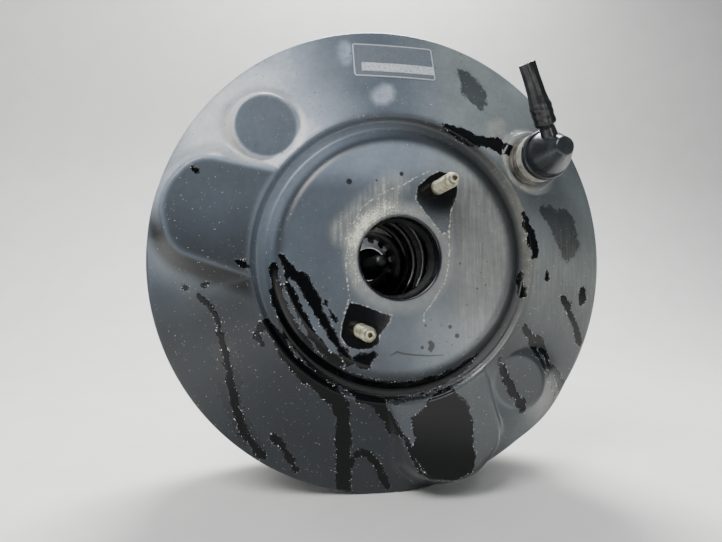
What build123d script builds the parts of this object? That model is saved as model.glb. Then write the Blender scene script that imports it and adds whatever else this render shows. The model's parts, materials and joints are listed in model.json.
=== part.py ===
"""Single-diaphragm vacuum brake booster for a car, modelled as an assembly.

The part's frame: the origin is the centre of the face that the master cylinder bolts to.
The booster's axis is Y.  -Y points out of that face, towards the engine bay, and +Y runs
back through the booster to the bulkhead and the brake pedal.  +Z is up.
Every turned piece is drawn as a profile of (radius, depth) points and turned about Y.
"""
from build123d import *
from math import cos, radians, sin, sqrt, tan
import os

# ----------------------------------------------------------------- clearances and sheets
REST_GAP = 0.3            # between pieces that sit beside each other on different bodies
SEAT_GAP = 0.1            # between pieces that are bolted, pressed or laid on each other
RUN_CLEARANCE = 0.05      # radial, on everything that slides or swivels in a bore
SHELL_SHEET = 1.5         # pressed steel of both shells
PLATE_SHEET = 1.2         # pressed steel of the diaphragm plate
STIFFENER_SHEET = 2.6     # the plates that spread the stud loads
RUBBER_SHEET = 1.3        # the diaphragm
EDGE = 0.8                # broken edge on turned and moulded pieces
COIL_POINTS_PER_TURN = 12  # that the springs' wires are drawn through

# ------------------------------------------------------------------- front shell, outside
FACE_RADIUS = 64.0        # the flat face for the master cylinder
FACE_ROUND = 7.0
FACE_WALL_SPREAD = 9.0    # how far the face's side wall leans out down to the groove
GROOVE_WIDTH = 4.5
GROOVE_DEPTH = 9.8
GROOVE_BEND = 2.6
CONE_TOP_SPREAD = 3.0     # from the groove's outer edge to the top of the cone
CONE_TOP_DEPTH = 7.0
CONE_TOP_ROUND = 2.2
RIM_RADIUS = 138.0
RIM_DEPTH = 30.4          # where the cone runs out to the rim
RIM_ROUND = 1.8
SKIRT_LENGTH = 14.6
MOUTH_RADIUS = 22.2       # bore for the master cylinder's spigot
MOUTH_ROUND = 2.5
COLLAR_LENGTH = 9.0

# Round pads and lobes stand flat on the cone.  Angles run from +X towards +Z.
ROUND_PAD_RADIUS = 16.5
ROUND_PAD_FROM_CONE_TOP = 21.5   # from the top of the cone out to a pad's centre
ROUND_PAD_DEPTH = 9.6
ROUND_PAD_ANGLES = (135.0, -44.5)
PAD_WALL_SPREAD = 7.0     # how far a pad's wall leans out on its way down to the cone
PAD_ROUND = 4.5
PAD_FLAT_MARGIN = 0.75     # share of the round that lies outside a pad's flat
LOBE_ANGLES = (165.5, -72.5)
LOBE_DEPTH = 6.8
LOBE_ROOT_FROM_CONE_TOP = 40.5   # the outline starts inside the groove and is cut off
LOBE_ROOT_HALF_WIDTH = 31.0
LOBE_OUTER_HALF_WIDTH = 25.0
LOBE_TIP_FROM_RIM = 7.0     # a lobe's flat ends this far inside the rim
LOBE_SHOULDER_FROM_TIP = 13.0
LOBE_CORNER = 17.0
LOBE_ROOT_CORNER = 14.0
LOBE_TIP_ROUND = 25.0
LOBE_WALL_SPREAD = 14.0
LOBE_WEDGE_SPREAD = 18.0  # the long slope on the first lobe's lower side
BULGE_OFFSET = 4.6        # crescent swelling of the face's side wall
BULGE_ANGLE = -147.0
BULGE_DEPTH = 2.6
BULGE_FOOT_SETBACK = 2.0   # its foot leaves the groove open
BULGE_HALF_SECTOR = 42.0

# ------------------------------------------------------------------ studs and stiffeners
CYLINDER_STUD_PITCH_RADIUS = 45.0
CYLINDER_STUD_ANGLES = (60.7, 240.7)
CYLINDER_STUD_LENGTH = 27.0
STUD_RADIUS = 4.0
STUD_SEAT_RADIUS = 4.6    # the knurled seat that is pressed through the stiffener
STUD_TIP_RADIUS = 2.6
STUD_TIP_LENGTH = 3.2
STUD_TIP_EDGE = 0.3
STUD_HEAD_RADIUS = 6.3
STUD_HEAD_HEIGHT = 2.6
STUD_CENTRE_RADIUS = 1.1
STUD_CENTRE_DEPTH = 2.0
STIFFENER_RADIUS = 57.0
BULKHEAD_STUD_PITCH_RADIUS = 46.0
BULKHEAD_STUD_ANGLES = (45.0, 135.0, 225.0, 315.0)
BULKHEAD_STUD_LENGTH = 21.0

# --------------------------------------------------------------------------- rear shell
FACE_TO_FACE = 132.0      # master cylinder face to bulkhead face
REAR_FLANGE_WIDTH = 6.6   # from the rear wall's outside to the flange's edge
REAR_WALL_DRAFT = 1.0
REAR_FLANGE_BEND = 1.6
REAR_CORNER_DEPTH = 116.0
REAR_CORNER_ROUND = 14.0
REAR_FACE_RADIUS = 60.0
REAR_STEP_RADIUS = 72.0
REAR_STEP_DEPTH = 126.0
NECK_RADIUS = 27.5
NECK_LENGTH = 18.0
NECK_LIP_RADIUS = 21.6
REAR_STEP_BEND = 5.0
REAR_FACE_BEND = 3.0
NECK_ROOT_BEND = 1.8
NECK_LIP_BEND = 3.0
GUIDE_LENGTH = 5.8        # the plastic ring in the neck that the tail slides in
NECK_SEAL_SLOPE_WIDTH = 2.4
NECK_SEAL_LIP_WIDTH = 1.6
NECK_SEAL_LIP_RISE = 0.9
CRIMP_COUNT = 16
CRIMP_WIDTH = 9.0
CRIMP_HEIGHT = 1.3

# ----------------------------------------------------------------------- mouth seal pack
SEAL_LIP_RADIUS = 20.8
SEAL_BACK_DEPTH = 18.0
SEAL_CUP_RADIUS = 31.4
SEAL_CUP_SHEET = 1.2
SEAL_CUP_LIP_RADIUS = 24.0
SEAL_CUP_BEND = 2.0
SEAL_LIP_WIDTH = 1.2
SEAL_LIP_SETBACK = 1.0    # of the lip's edge from the seal's back
SEAL_LIP_RISE = 0.4
SEAL_LIP_LENGTH = 2.6
SEAL_THROAT_LENGTH = 3.0
SEAL_THROAT_RISE = 0.2

# ----------------------------------------------------------------------- control housing
HUB_LENGTH = 31.0         # from the flange forward to the hub's front edge
HUB_RADIUS = 23.4
HUB_BORE_RADIUS = 20.1
HUB_FLOOR_LENGTH = 5.0
FLANGE_RADIUS = 33.0
FLANGE_LENGTH = 4.0
TAIL_RADIUS = 20.0
TAIL_MARGIN = 3.0         # of the tail that still shows behind the neck at full stroke
BOSS_RADIUS = 15.6
DISC_BORE_RADIUS = 12.7
DISC_FLOOR_LENGTH = 6.8   # material between the flange's front and the reaction disc
BOSS_LENGTH = 11.7        # how far the boss stands over the disc's floor
PLUNGER_RADIUS = 7.5
VALVE_CHAMBER_RADIUS = 15.6
VALVE_FLOOR_LENGTH = 17.0 # from the flange's back to the valve chamber's floor
VALVE_CHAMBER_LENGTH = 14.0
VALVE_SEAT_RADIUS = 11.4
VALVE_SEAT_WIDTH = 1.6
VALVE_SEAT_HEIGHT = 2.4
VALVE_SEAT_CREST = 0.3    # half the width that is left at the seat's edge
FILTER_BORE_RADIUS = 17.4
VACUUM_PORT_RADIUS = 1.5
VACUUM_PORT_ANGLES = (50.0, 90.0, 130.0, 230.0, 270.0, 310.0)   # clear of the key's slot
VACUUM_PORT_PITCH_RADIUS = 16.1
AIR_PASSAGE_RADIUS = 9.2  # air runs round the plunger from the seat to the key's slot

# ----------------------------------------------------- diaphragm, plate and return spring
BEAD_LENGTH = 3.0
BEAD_RADIUS = 32.0
RIM_BEAD_LENGTH = 8.4
RIM_BEAD_WIDTH = 6.4
RIM_BEAD_EDGE = 1.2
PLATE_SEAT_RADIUS = 38.0
PLATE_RISE = 15.5         # how far the plate's ring stands forward of its seat
PLATE_SHOULDER_RADIUS = 51.0
PLATE_EDGE_FROM_ROLL = 10.2   # from the diaphragm's rolling wall in to the plate's edge
PLATE_EDGE_RISE = 2.5
PLATE_CURL = 4.0
PLATE_BENDS = (4.0, 5.0, 3.0)
ROLL_FROM_REAR_WALL = 4.3     # from the rear wall's outside in to the rolling wall
ROLL_SETBACK = 2.6        # how far the roll hangs behind the plate's curled edge
ROLL_BENDS = (1.5, 2.0, 2.0)
BEAD_OVERLAP = 2.0        # the sheet is moulded this far into its inner bead
RIM_BEAD_OVERLAP = 1.0
POWER_STROKE = 38.0
SPRING_WIRE_RADIUS = 2.0
SPRING_FRONT_RADIUS = 36.0
SPRING_BACK_RADIUS = 29.5
SPRING_TURNS = 5.5

# ------------------------------------------------------- output rod, disc and its retainer
REACTION_DISC_LENGTH = 7.0
ROD_HEAD_LENGTH = 9.5
ROD_RADIUS = 4.75
ROD_REACH = 61.0          # from the back of the rod's head to its tip
ROD_HEAD_TAPER = 5.0
ROD_HEAD_TAPER_WIDTH = 2.0
ROD_ROOT_RISE = 1.0
ROD_ROOT_LENGTH = 2.0
ROD_TIP_FLAT = 1.0        # radius that stays flat at the rod's rounded tip
RETAINER_SHEET = 0.8
RETAINER_LIP_RADIUS = 11.0
RETAINER_SPOKES = 14
RETAINER_WINDOW_RADIUS = 2.6
RETAINER_WINDOW_PITCH_RADIUS = 18.4
RETAINER_SPOKE_DROP = 4.0
RETAINER_BEND = 1.4
RETAINER_BEND_LIFT = 0.4  # the bend's corner stands this far off the boss

# ------------------------------------------------------------ plunger, key and input rod
PLUNGER_TRAVEL = 2.0
PLUNGER_GROOVE_RADIUS = 4.6
KEY_SHEET = 2.2
KEY_PLAY = 0.35
KEY_SPAN = 47.0
KEY_WIDTH = 14.0
KEY_END_PLAY = 1.0
BALL_RADIUS = 5.0
BALL_DEPTH_IN_PLUNGER = 7.0   # from the plunger's back edge to the ball's centre
BALL_NECK_RADIUS = 3.2
SOCKET_MOUTH_RADIUS = 4.5
INPUT_ROD_RADIUS = 4.0
INPUT_ROD_LENGTH = 98.0       # from the ball's centre to the rod's end
BALL_NECK_TAPER = 2.0
ROD_COLLAR_RADIUS = 7.4
ROD_COLLAR_LENGTH = 2.0
ROD_COLLAR_FROM_BALL = 38.0
ROD_TILT = 3.0                # degrees to either side
SOCKET_FLARE = 3.0            # the socket's mouth opens at this many times the tilt

# ------------------------------------------------------------- poppet, filter and boot
POPPET_LIP_RADIUS = 13.4
POPPET_LIP_LENGTH = 2.4
POPPET_BORE_RADIUS = 6.6
POPPET_WALL = 1.2
POPPET_BEAD_LENGTH = 2.6
POPPET_SPRING_RADIUS = 9.8
POPPET_SPRING_WIRE = 0.45
POPPET_SPRING_TURNS = 3.5
INPUT_SPRING_FRONT_RADIUS = 12.2
INPUT_SPRING_BACK_RADIUS = 6.4
INPUT_SPRING_WIRE = 0.7
INPUT_SPRING_TURNS = 4
SLEEVE_SHEET = 1.6
SLEEVE_SKIRT = 4.0
SLEEVE_BORE_RADIUS = 8.2
FILTER_LENGTH = 8.5
FILTER_HOLE_RADIUS = 8.0
CAP_LENGTH = 1.8
CAP_SLOTS = 12
CAP_SLOT_RADIUS = 2.0
BOOT_SHEET = 1.1
BOOT_WAVES = 5
BOOT_VALLEY_RADIUS = 22.6
BOOT_PEAK_RADIUS = 28.4
BOOT_CUFF_LENGTH = 9.0
BOOT_NOSE_LENGTH = 9.0
BOOT_NOSE_GRIP = 6.0
BOOT_BEND = 1.3
BOOT_START_GAP = 2.0      # from the neck's end to the first wave
BOOT_END_GAP = 1.5        # from the tail's end to the last wave
BOOT_VALLEY_SHARE = 0.25  # where a wave's valley and peak lie in its pitch
BOOT_PEAK_SHARE = 0.75

# ------------------------------------------------------------------------------- clevis
CLEVIS_WIDTH = 19.0
CLEVIS_HEIGHT = 17.0
CLEVIS_GAP = 8.6
CLEVIS_END_FLAT = 1.0     # left between the two rounds of a cheek's end
CLEVIS_LENGTH = 34.0
CLEVIS_SLOT_LENGTH = 21.0
CLEVIS_PIN_RADIUS = 4.1
CLEVIS_PIN_SETBACK = 8.5
CLEVIS_THREAD_LENGTH = 12.0   # how far the rod's end reaches into the clevis
NUT_ACROSS_FLATS = 13.0
NUT_HEIGHT = 5.0

# -------------------------------------------------------------------------- check valve
VALVE_ANGLE = 35.1
VALVE_FROM_CONE_TOP = 19.5    # from the top of the cone out to the valve's axis
VALVE_PAD_RADIUS = 15.4
VALVE_PAD_DEPTH = 9.1
VALVE_HOLE_RADIUS = 9.4
GROMMET_RADIUS = 14.2
GROMMET_HEAD_LENGTH = 8.0
GROMMET_BACK_RADIUS = 11.6
GROMMET_BACK_LENGTH = 4.0
GROMMET_EDGE = 1.5
GROMMET_FOOT_DRAW = 0.6   # the head is narrower at its foot
GROMMET_BACK_TAPER = 2.0
VALVE_STEM_RADIUS = 6.0
VALVE_STEM_LENGTH = 20.0
VALVE_BODY_RADIUS = 13.7
VALVE_BODY_LENGTH = 7.2
VALVE_SEAT_BORE = 3.6
VALVE_SEAT_RECESS = 2.0
VALVE_BARB = 0.7
VALVE_BARB_LENGTH = 3.4
VALVE_BARB_STEP = 0.6
VALVE_STEM_END_DRAW = 0.8
VALVE_BODY_EDGE = 0.5
VALVE_RIDGE_WIDTH = 1.8   # the raised ring that the disc seals on
VALVE_RIDGE_HEIGHT = 0.5
VALVE_RECESS_MARGIN = 2.0 # from the cap's inner wall in to the recess
VALVE_CAP_RADIUS = 13.9
VALVE_CAP_FLANGE = 3.0
VALVE_CAP_HEIGHT = 22.4
VALVE_CAP_TIP_RADIUS = 4.9
VALVE_CAP_WALL = 1.8
VALVE_CAP_STEP = 1.6      # the dome stands this far inside the flange's edge
VALVE_CAP_BEVEL = 0.6
VALVE_CAP_BEVEL_RISE = 0.8
VALVE_CAP_TIP_ROUND = 1.2
VALVE_CAVITY_MARGIN = 1.0
VALVE_CAVITY_DRAW = 2.6   # the cavity is narrower than the cap's inner wall
VALVE_CAVITY_SHOULDER = 1.5
DOME_SHOULDER = 4.0
DOME_ROUND = 7.0
VALVE_DISC_RADIUS = 6.4
VALVE_DISC_LENGTH = 1.6
VALVE_DISC_PIP_RADIUS = 1.8
VALVE_DISC_PIP_LENGTH = 1.6
VALVE_SPRING_RADIUS = 4.2
VALVE_SPRING_WIRE = 0.35
VALVE_SPRING_TURNS = 4.5
NIPPLE_RADIUS = 3.7
NIPPLE_BORE_RADIUS = 2.2
NIPPLE_LENGTH = 30.0
NIPPLE_SETBACK = 11.0     # from the cap's flange forward to the nipple's axis
NIPPLE_ANGLE = 115.5
NIPPLE_LEAN = 12.0        # the nipple leans forward, away from the shell
NIPPLE_ROOT_RISE = 1.4
NIPPLE_WAIST_RISE = 0.4
NIPPLE_BARB = 0.5
NIPPLE_BARB_LENGTH = 3.0
NIPPLE_BARB_STEP = 0.5
NIPPLE_END_DRAW = 0.4
HOSE_START = 14.5
HOSE_LENGTH = 34.0
HOSE_RADIUS = 4.5
HOSE_COLLAR_RADIUS = 5.6
HOSE_COLLAR_LENGTH = 11.0
HOSE_TAPER_LENGTH = 6.0
HOSE_BORE_RADIUS = 2.8
HOSE_BARB_ROOM = 0.6      # how far the hose's bore opens over the nipple's barb
HOSE_BARB_MARGIN = 1.5    # how far that wider bore runs past the barb

# ------------------------------------------------------ radii and depths that follow
GROOVE_INNER_RADIUS = FACE_RADIUS + FACE_WALL_SPREAD
GROOVE_OUTER_RADIUS = GROOVE_INNER_RADIUS + GROOVE_WIDTH
CONE_TOP_RADIUS = GROOVE_OUTER_RADIUS + CONE_TOP_SPREAD
CONE_SLOPE = (RIM_DEPTH - CONE_TOP_DEPTH) / (RIM_RADIUS - CONE_TOP_RADIUS)
ROUND_PAD_PITCH_RADIUS = CONE_TOP_RADIUS + ROUND_PAD_FROM_CONE_TOP
VALVE_PITCH_RADIUS = CONE_TOP_RADIUS + VALVE_FROM_CONE_TOP
LOBE_ROOT_RADIUS = CONE_TOP_RADIUS - LOBE_ROOT_FROM_CONE_TOP
LOBE_TIP_RADIUS = RIM_RADIUS - LOBE_TIP_FROM_RIM
LOBE_SHOULDER_RADIUS = LOBE_TIP_RADIUS - LOBE_SHOULDER_FROM_TIP
REAR_FLANGE_RADIUS = RIM_RADIUS - SHELL_SHEET - SEAT_GAP - REST_GAP
REAR_WALL_RADIUS = REAR_FLANGE_RADIUS - REAR_FLANGE_WIDTH
RIM_BEAD_RADIUS = RIM_RADIUS - SHELL_SHEET - SEAT_GAP
RIM_BEAD_INNER_RADIUS = RIM_BEAD_RADIUS - RIM_BEAD_WIDTH
ROLL_RADIUS = REAR_WALL_RADIUS - ROLL_FROM_REAR_WALL
PLATE_EDGE_RADIUS = ROLL_RADIUS - PLATE_EDGE_FROM_ROLL
SKIRT_END = RIM_DEPTH + SKIRT_LENGTH
STIFFENER_BACK = SHELL_SHEET + SEAT_GAP + STIFFENER_SHEET
RIM_BEAD_FRONT = RIM_DEPTH + SHELL_SHEET + SEAT_GAP
REAR_FLANGE_FRONT = RIM_BEAD_FRONT + RIM_BEAD_LENGTH + SEAT_GAP
REAR_FLANGE_BACK = REAR_FLANGE_FRONT + SHELL_SHEET
REAR_STIFFENER_FRONT = FACE_TO_FACE - SHELL_SHEET - SEAT_GAP - STIFFENER_SHEET
NECK_END = FACE_TO_FACE + NECK_LENGTH
KEY_BACK = REAR_STIFFENER_FRONT - KEY_PLAY
KEY_FRONT = KEY_BACK - KEY_SHEET
FLANGE_BACK = KEY_FRONT - KEY_PLAY
FLANGE_FRONT = FLANGE_BACK - FLANGE_LENGTH
HUB_FRONT = FLANGE_FRONT - HUB_LENGTH
HUB_FLOOR = FLANGE_FRONT - HUB_FLOOR_LENGTH
TAIL_END = NECK_END + POWER_STROKE + TAIL_MARGIN
DISC_FLOOR = FLANGE_FRONT - DISC_FLOOR_LENGTH
BOSS_FRONT = DISC_FLOOR - BOSS_LENGTH
DISC_BACK = DISC_FLOOR - SEAT_GAP
DISC_FRONT = DISC_BACK - REACTION_DISC_LENGTH
ROD_HEAD_BACK = DISC_FRONT - SEAT_GAP
ROD_HEAD_FRONT = ROD_HEAD_BACK - ROD_HEAD_LENGTH
ROD_TIP = ROD_HEAD_BACK - ROD_REACH
VALVE_FLOOR = FLANGE_BACK + VALVE_FLOOR_LENGTH
VALVE_SEAT_EDGE = VALVE_FLOOR + VALVE_SEAT_HEIGHT
CHAMBER_END = VALVE_FLOOR + VALVE_CHAMBER_LENGTH
PLUNGER_BACK = VALVE_SEAT_EDGE
PLUNGER_FRONT = DISC_BACK + PLUNGER_TRAVEL + REST_GAP
BALL_DEPTH = PLUNGER_BACK - BALL_DEPTH_IN_PLUNGER
POPPET_FRONT = VALVE_SEAT_EDGE + REST_GAP
POPPET_BACK = CHAMBER_END + POPPET_BEAD_LENGTH
SLEEVE_FRONT = POPPET_BACK + SEAT_GAP
SLEEVE_BACK = SLEEVE_FRONT + SLEEVE_SHEET
ROD_COLLAR_FRONT = BALL_DEPTH + ROD_COLLAR_FROM_BALL
CAP_BACK = TAIL_END
CAP_FRONT = CAP_BACK - CAP_LENGTH
FILTER_BACK = CAP_FRONT - SEAT_GAP
FILTER_FRONT = FILTER_BACK - FILTER_LENGTH
INPUT_ROD_END = BALL_DEPTH + INPUT_ROD_LENGTH
BEAD_BACK = FLANGE_FRONT - SEAT_GAP
BEAD_FRONT = BEAD_BACK - BEAD_LENGTH
PLATE_BACK = BEAD_FRONT - SEAT_GAP
PLATE_FRONT = PLATE_BACK - PLATE_SHEET
MOUTH_COLLAR_RADIUS = MOUTH_RADIUS + SHELL_SHEET
GROMMET_FRONT = VALVE_PAD_DEPTH - SEAT_GAP - GROMMET_HEAD_LENGTH
VALVE_BODY_BACK = GROMMET_FRONT - SEAT_GAP
VALVE_BODY_FRONT = VALVE_BODY_BACK - VALVE_BODY_LENGTH
CAP_FLANGE_BACK = VALVE_BODY_FRONT - SEAT_GAP
CAP_FLANGE_FRONT = CAP_FLANGE_BACK - VALVE_CAP_FLANGE
CAP_TIP = CAP_FLANGE_BACK - VALVE_CAP_HEIGHT
NIPPLE_DEPTH = CAP_FLANGE_BACK - NIPPLE_SETBACK
CAVITY_FRONT = NIPPLE_DEPTH - NIPPLE_BORE_RADIUS - VALVE_CAVITY_MARGIN
VALVE_DISC_BACK = VALVE_BODY_FRONT + VALVE_SEAT_RECESS - VALVE_RIDGE_HEIGHT - SEAT_GAP
VALVE_DISC_FRONT = VALVE_DISC_BACK - VALVE_DISC_LENGTH
VALVE_X = VALVE_PITCH_RADIUS * cos(radians(VALVE_ANGLE))
VALVE_Z = VALVE_PITCH_RADIUS * sin(radians(VALVE_ANGLE))


# ------------------------------------------------------------------------ small helpers
def turned(*outline):
    """A solid turned about Y from a closed outline of (radius, depth) points."""
    return revolve(make_face(Polyline(*outline, close=True)), axis=Axis.Y)


def pressed(skin, rounds, sheet, side=Side.LEFT):
    """A turned sheet: one skin as (radius, depth) points, its bends and its thickness."""
    path = FilletPolyline(*skin, radius=rounds)
    return revolve(make_face(offset(path, amount=sheet, side=side)), axis=Axis.Y)


def depth_plane(depth):
    """The plane at a depth, seen from the front: local x is X and local y is Z."""
    return Plane(origin=(0, depth, 0), x_dir=(1, 0, 0), z_dir=(0, -1, 0))


def at_angle(shape, angle):
    """Turn a shape that was drawn on +X round to an angle measured towards +Z."""
    return shape.rotate(Axis.Y, -angle)


def rod(radius, front, back, x=0.0, z=0.0):
    """A plain round bar along Y between two depths."""
    disc = depth_plane(back) * Pos(x, z) * Circle(radius)
    return extrude(disc, amount=back - front)


def coil(front, back, front_radius, back_radius, wire, turns):
    """A coil spring along Y, from the first wire's front to the last wire's back."""
    steps = round(turns * COIL_POINTS_PER_TURN)
    points = []
    for step in range(steps + 1):
        share = step / steps
        radius = front_radius + (back_radius - front_radius) * share
        depth = front + wire + (back - front - 2 * wire) * share
        turn = radians(360 * turns * share)
        points.append((radius * cos(turn), depth, -radius * sin(turn)))
    path = Spline(*points)
    start = Plane(origin=path @ 0, z_dir=path % 0)
    return sweep(start * Circle(wire), path=path, is_frenet=True)


def ring_of(shape, count, start=0.0):
    """Copies of a shape spaced evenly round Y."""
    return [at_angle(shape, start + 360.0 * step / count) for step in range(count)]


# ------------------------------------------------------------------- front shell pieces
def front_skin():
    """Outside of the front shell from the axis to the end of its skirt."""
    return FilletPolyline(
        (0, 0),
        (FACE_RADIUS, 0),
        (GROOVE_INNER_RADIUS, GROOVE_DEPTH),
        (GROOVE_OUTER_RADIUS, GROOVE_DEPTH),
        (CONE_TOP_RADIUS, CONE_TOP_DEPTH),
        (RIM_RADIUS, RIM_DEPTH),
        (RIM_RADIUS, SKIRT_END),
        radius=(FACE_ROUND, GROOVE_BEND, GROOVE_BEND, CONE_TOP_ROUND, RIM_ROUND),
    )


def cone_inside(radius):
    """Depth of the cone's inner skin at a radius."""
    outside = RIM_DEPTH - CONE_SLOPE * (RIM_RADIUS - radius)
    return outside + SHELL_SHEET * sqrt(1 + CONE_SLOPE**2)


def lobe_outline(spread, wedge):
    """A lobe's outline on +X.  wedge lets its +Z side lean out further."""
    root = LOBE_ROOT_RADIUS
    side_in = LOBE_ROOT_HALF_WIDTH + spread
    side_out = LOBE_OUTER_HALF_WIDTH + spread
    return FilletPolyline(
        (root, -side_in),
        (LOBE_SHOULDER_RADIUS, -side_out),
        (LOBE_TIP_RADIUS + spread / 3, 0),
        (LOBE_SHOULDER_RADIUS, side_out + wedge),
        (root, side_in + wedge / 2),
        radius=(LOBE_ROOT_CORNER, LOBE_CORNER, LOBE_TIP_ROUND, LOBE_CORNER, LOBE_ROOT_CORNER),
        close=True,
    )


def lobe(inset, wedge):
    """One solid lobe on +X, from its flat down to the rim's depth, set in by inset."""
    edge = PAD_FLAT_MARGIN * PAD_ROUND - inset
    flat = depth_plane(LOBE_DEPTH + inset) * make_face(lobe_outline(edge, 0))
    foot = depth_plane(RIM_DEPTH) * make_face(lobe_outline(edge + LOBE_WALL_SPREAD, wedge))
    block = loft([flat, foot])
    block = fillet(block.edges().group_by(Axis.Y)[0], PAD_ROUND - inset)
    return block - rod(CONE_TOP_RADIUS, -1, RIM_DEPTH + 1)


def round_pad(radius, depth, inset):
    """One solid round pad on the axis, from its flat down to the rim's depth."""
    top = depth + inset
    edge = radius + PAD_FLAT_MARGIN * PAD_ROUND - inset
    block = turned(
        (0, top), (edge, top), (edge + PAD_WALL_SPREAD, RIM_DEPTH), (0, RIM_DEPTH)
    )
    return fillet(block.edges().group_by(Axis.Y)[0], PAD_ROUND - inset)


def front_pads(inset):
    """All the pads that stand on the front shell's cone, each set in by inset."""
    first, second = LOBE_ANGLES
    pads = [
        at_angle(lobe(inset, LOBE_WEDGE_SPREAD), first),
        at_angle(lobe(inset, 0), second),
    ]
    for angle in ROUND_PAD_ANGLES:
        pad = round_pad(ROUND_PAD_RADIUS, ROUND_PAD_DEPTH, inset)
        pads.append(at_angle(Pos(ROUND_PAD_PITCH_RADIUS, 0, 0) * pad, angle))
    valve_pad = round_pad(VALVE_PAD_RADIUS, VALVE_PAD_DEPTH, inset)
    pads.append(Pos(VALVE_X, 0, VALVE_Z) * valve_pad)
    pads.append(face_bulge(inset))
    return pads


def face_bulge(inset):
    """The crescent that swells out of one side of the flat face's wall."""
    top = BULGE_DEPTH + inset
    foot = GROOVE_INNER_RADIUS - BULGE_FOOT_SETBACK
    disc = turned(
        (0, top),
        (FACE_RADIUS - inset, top),
        (foot - inset, GROOVE_DEPTH + inset),
        (0, GROOVE_DEPTH + inset),
    )
    disc = fillet(disc.edges().group_by(Axis.Y)[0], PAD_ROUND - inset)
    shifted = Pos(BULGE_OFFSET, 0, 0) * disc
    reach = 2 * RIM_RADIUS
    opening = 2 * reach * sin(radians(BULGE_HALF_SECTOR))
    sector = make_face(Polyline((0, 0), (reach, -opening / 2), (reach, opening / 2), close=True))
    wedge = extrude(depth_plane(-1) * sector, amount=-2 * GROOVE_DEPTH)
    return at_angle(shifted & wedge, BULGE_ANGLE)


def front_shell():
    """Pressed front shell: lid, pads, mouth collar, rolled rim and crimp tabs."""
    skin = front_skin()
    sheet = revolve(make_face(offset(skin, amount=SHELL_SHEET, side=Side.LEFT)), axis=Axis.Y)
    lid_outline = skin + Polyline((RIM_RADIUS, SKIRT_END), (0, SKIRT_END), (0, 0))
    lid = revolve(make_face(lid_outline), axis=Axis.Y)
    hollow = lid - sheet
    shell = (lid + front_pads(0)) - (hollow + front_pads(SHELL_SHEET))
    collar = pressed(
        (
            (MOUTH_RADIUS, COLLAR_LENGTH),
            (MOUTH_RADIUS, 0),
            (MOUTH_RADIUS + 3 * MOUTH_ROUND, 0),
        ),
        (MOUTH_ROUND,),
        SHELL_SHEET,
    )
    shell = shell - rod(MOUTH_RADIUS + 2 * MOUTH_ROUND, -1, COLLAR_LENGTH) + collar
    for angle in CYLINDER_STUD_ANGLES:
        hole = rod(STUD_SEAT_RADIUS + SEAT_GAP, -1, STIFFENER_BACK, CYLINDER_STUD_PITCH_RADIUS)
        shell -= at_angle(hole, angle)
    shell -= rod(VALVE_HOLE_RADIUS, -1, RIM_DEPTH, VALVE_X, VALVE_Z)
    return shell + crimp_tabs()


def crimp_tabs():
    """Tabs lanced out of the skirt that hold the rear shell's flange."""
    inner = REAR_WALL_RADIUS + REAR_FLANGE_BEND + REST_GAP
    outer = RIM_RADIUS - SHELL_SHEET / 2
    depth = REAR_FLANGE_BACK + SEAT_GAP + CRIMP_HEIGHT / 2
    tab = Pos((inner + outer) / 2, depth, 0) * Box(outer - inner, CRIMP_HEIGHT, CRIMP_WIDTH)
    return ring_of(tab, CRIMP_COUNT, 180.0 / CRIMP_COUNT)


# ----------------------------------------------------------------- stiffeners and studs
def front_stiffener():
    """Plate welded behind the front face, which carries the master cylinder's studs."""
    front = SHELL_SHEET + SEAT_GAP
    plate = rod(STIFFENER_RADIUS, front, STIFFENER_BACK)
    plate -= rod(MOUTH_COLLAR_RADIUS + MOUTH_ROUND, front - 1, STIFFENER_BACK + 1)
    for angle in CYLINDER_STUD_ANGLES:
        hole = rod(
            STUD_SEAT_RADIUS + SEAT_GAP, 0, STIFFENER_BACK + 1, CYLINDER_STUD_PITCH_RADIUS
        )
        plate -= at_angle(hole, angle)
    return plate


def rear_stiffener():
    """Plate welded inside the rear face, which carries the bulkhead studs."""
    front = REAR_STIFFENER_FRONT
    plate = rod(STIFFENER_RADIUS, front, front + STIFFENER_SHEET)
    plate -= rod(TAIL_RADIUS + 2 * REST_GAP, front - 1, FACE_TO_FACE)
    for angle in BULKHEAD_STUD_ANGLES:
        hole = rod(
            STUD_SEAT_RADIUS + SEAT_GAP, front - 1, FACE_TO_FACE, BULKHEAD_STUD_PITCH_RADIUS
        )
        plate -= at_angle(hole, angle)
    return plate


def stud(length, head_depth):
    """A stud with its head under a stiffener, standing out towards -Y from depth 0."""
    tip = -length
    shank = turned(
        (0, tip),
        (STUD_TIP_RADIUS - STUD_TIP_EDGE, tip),
        (STUD_TIP_RADIUS, tip + STUD_TIP_EDGE),
        (STUD_TIP_RADIUS, tip + STUD_TIP_LENGTH),
        (STUD_RADIUS, tip + STUD_TIP_LENGTH + STUD_RADIUS - STUD_TIP_RADIUS),
        (STUD_RADIUS, 0),
        (STUD_SEAT_RADIUS, 0),
        (STUD_SEAT_RADIUS, head_depth + SEAT_GAP),
        (STUD_HEAD_RADIUS, head_depth + SEAT_GAP),
        (STUD_HEAD_RADIUS, head_depth + SEAT_GAP + STUD_HEAD_HEIGHT),
        (0, head_depth + SEAT_GAP + STUD_HEAD_HEIGHT),
    )
    return shank - rod(STUD_CENTRE_RADIUS, tip - 1, tip + STUD_CENTRE_DEPTH)


def cylinder_studs():
    """The two studs for the master cylinder."""
    one = Pos(CYLINDER_STUD_PITCH_RADIUS, 0, 0) * stud(CYLINDER_STUD_LENGTH, STIFFENER_BACK)
    return [at_angle(one, angle) for angle in CYLINDER_STUD_ANGLES]


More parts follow.
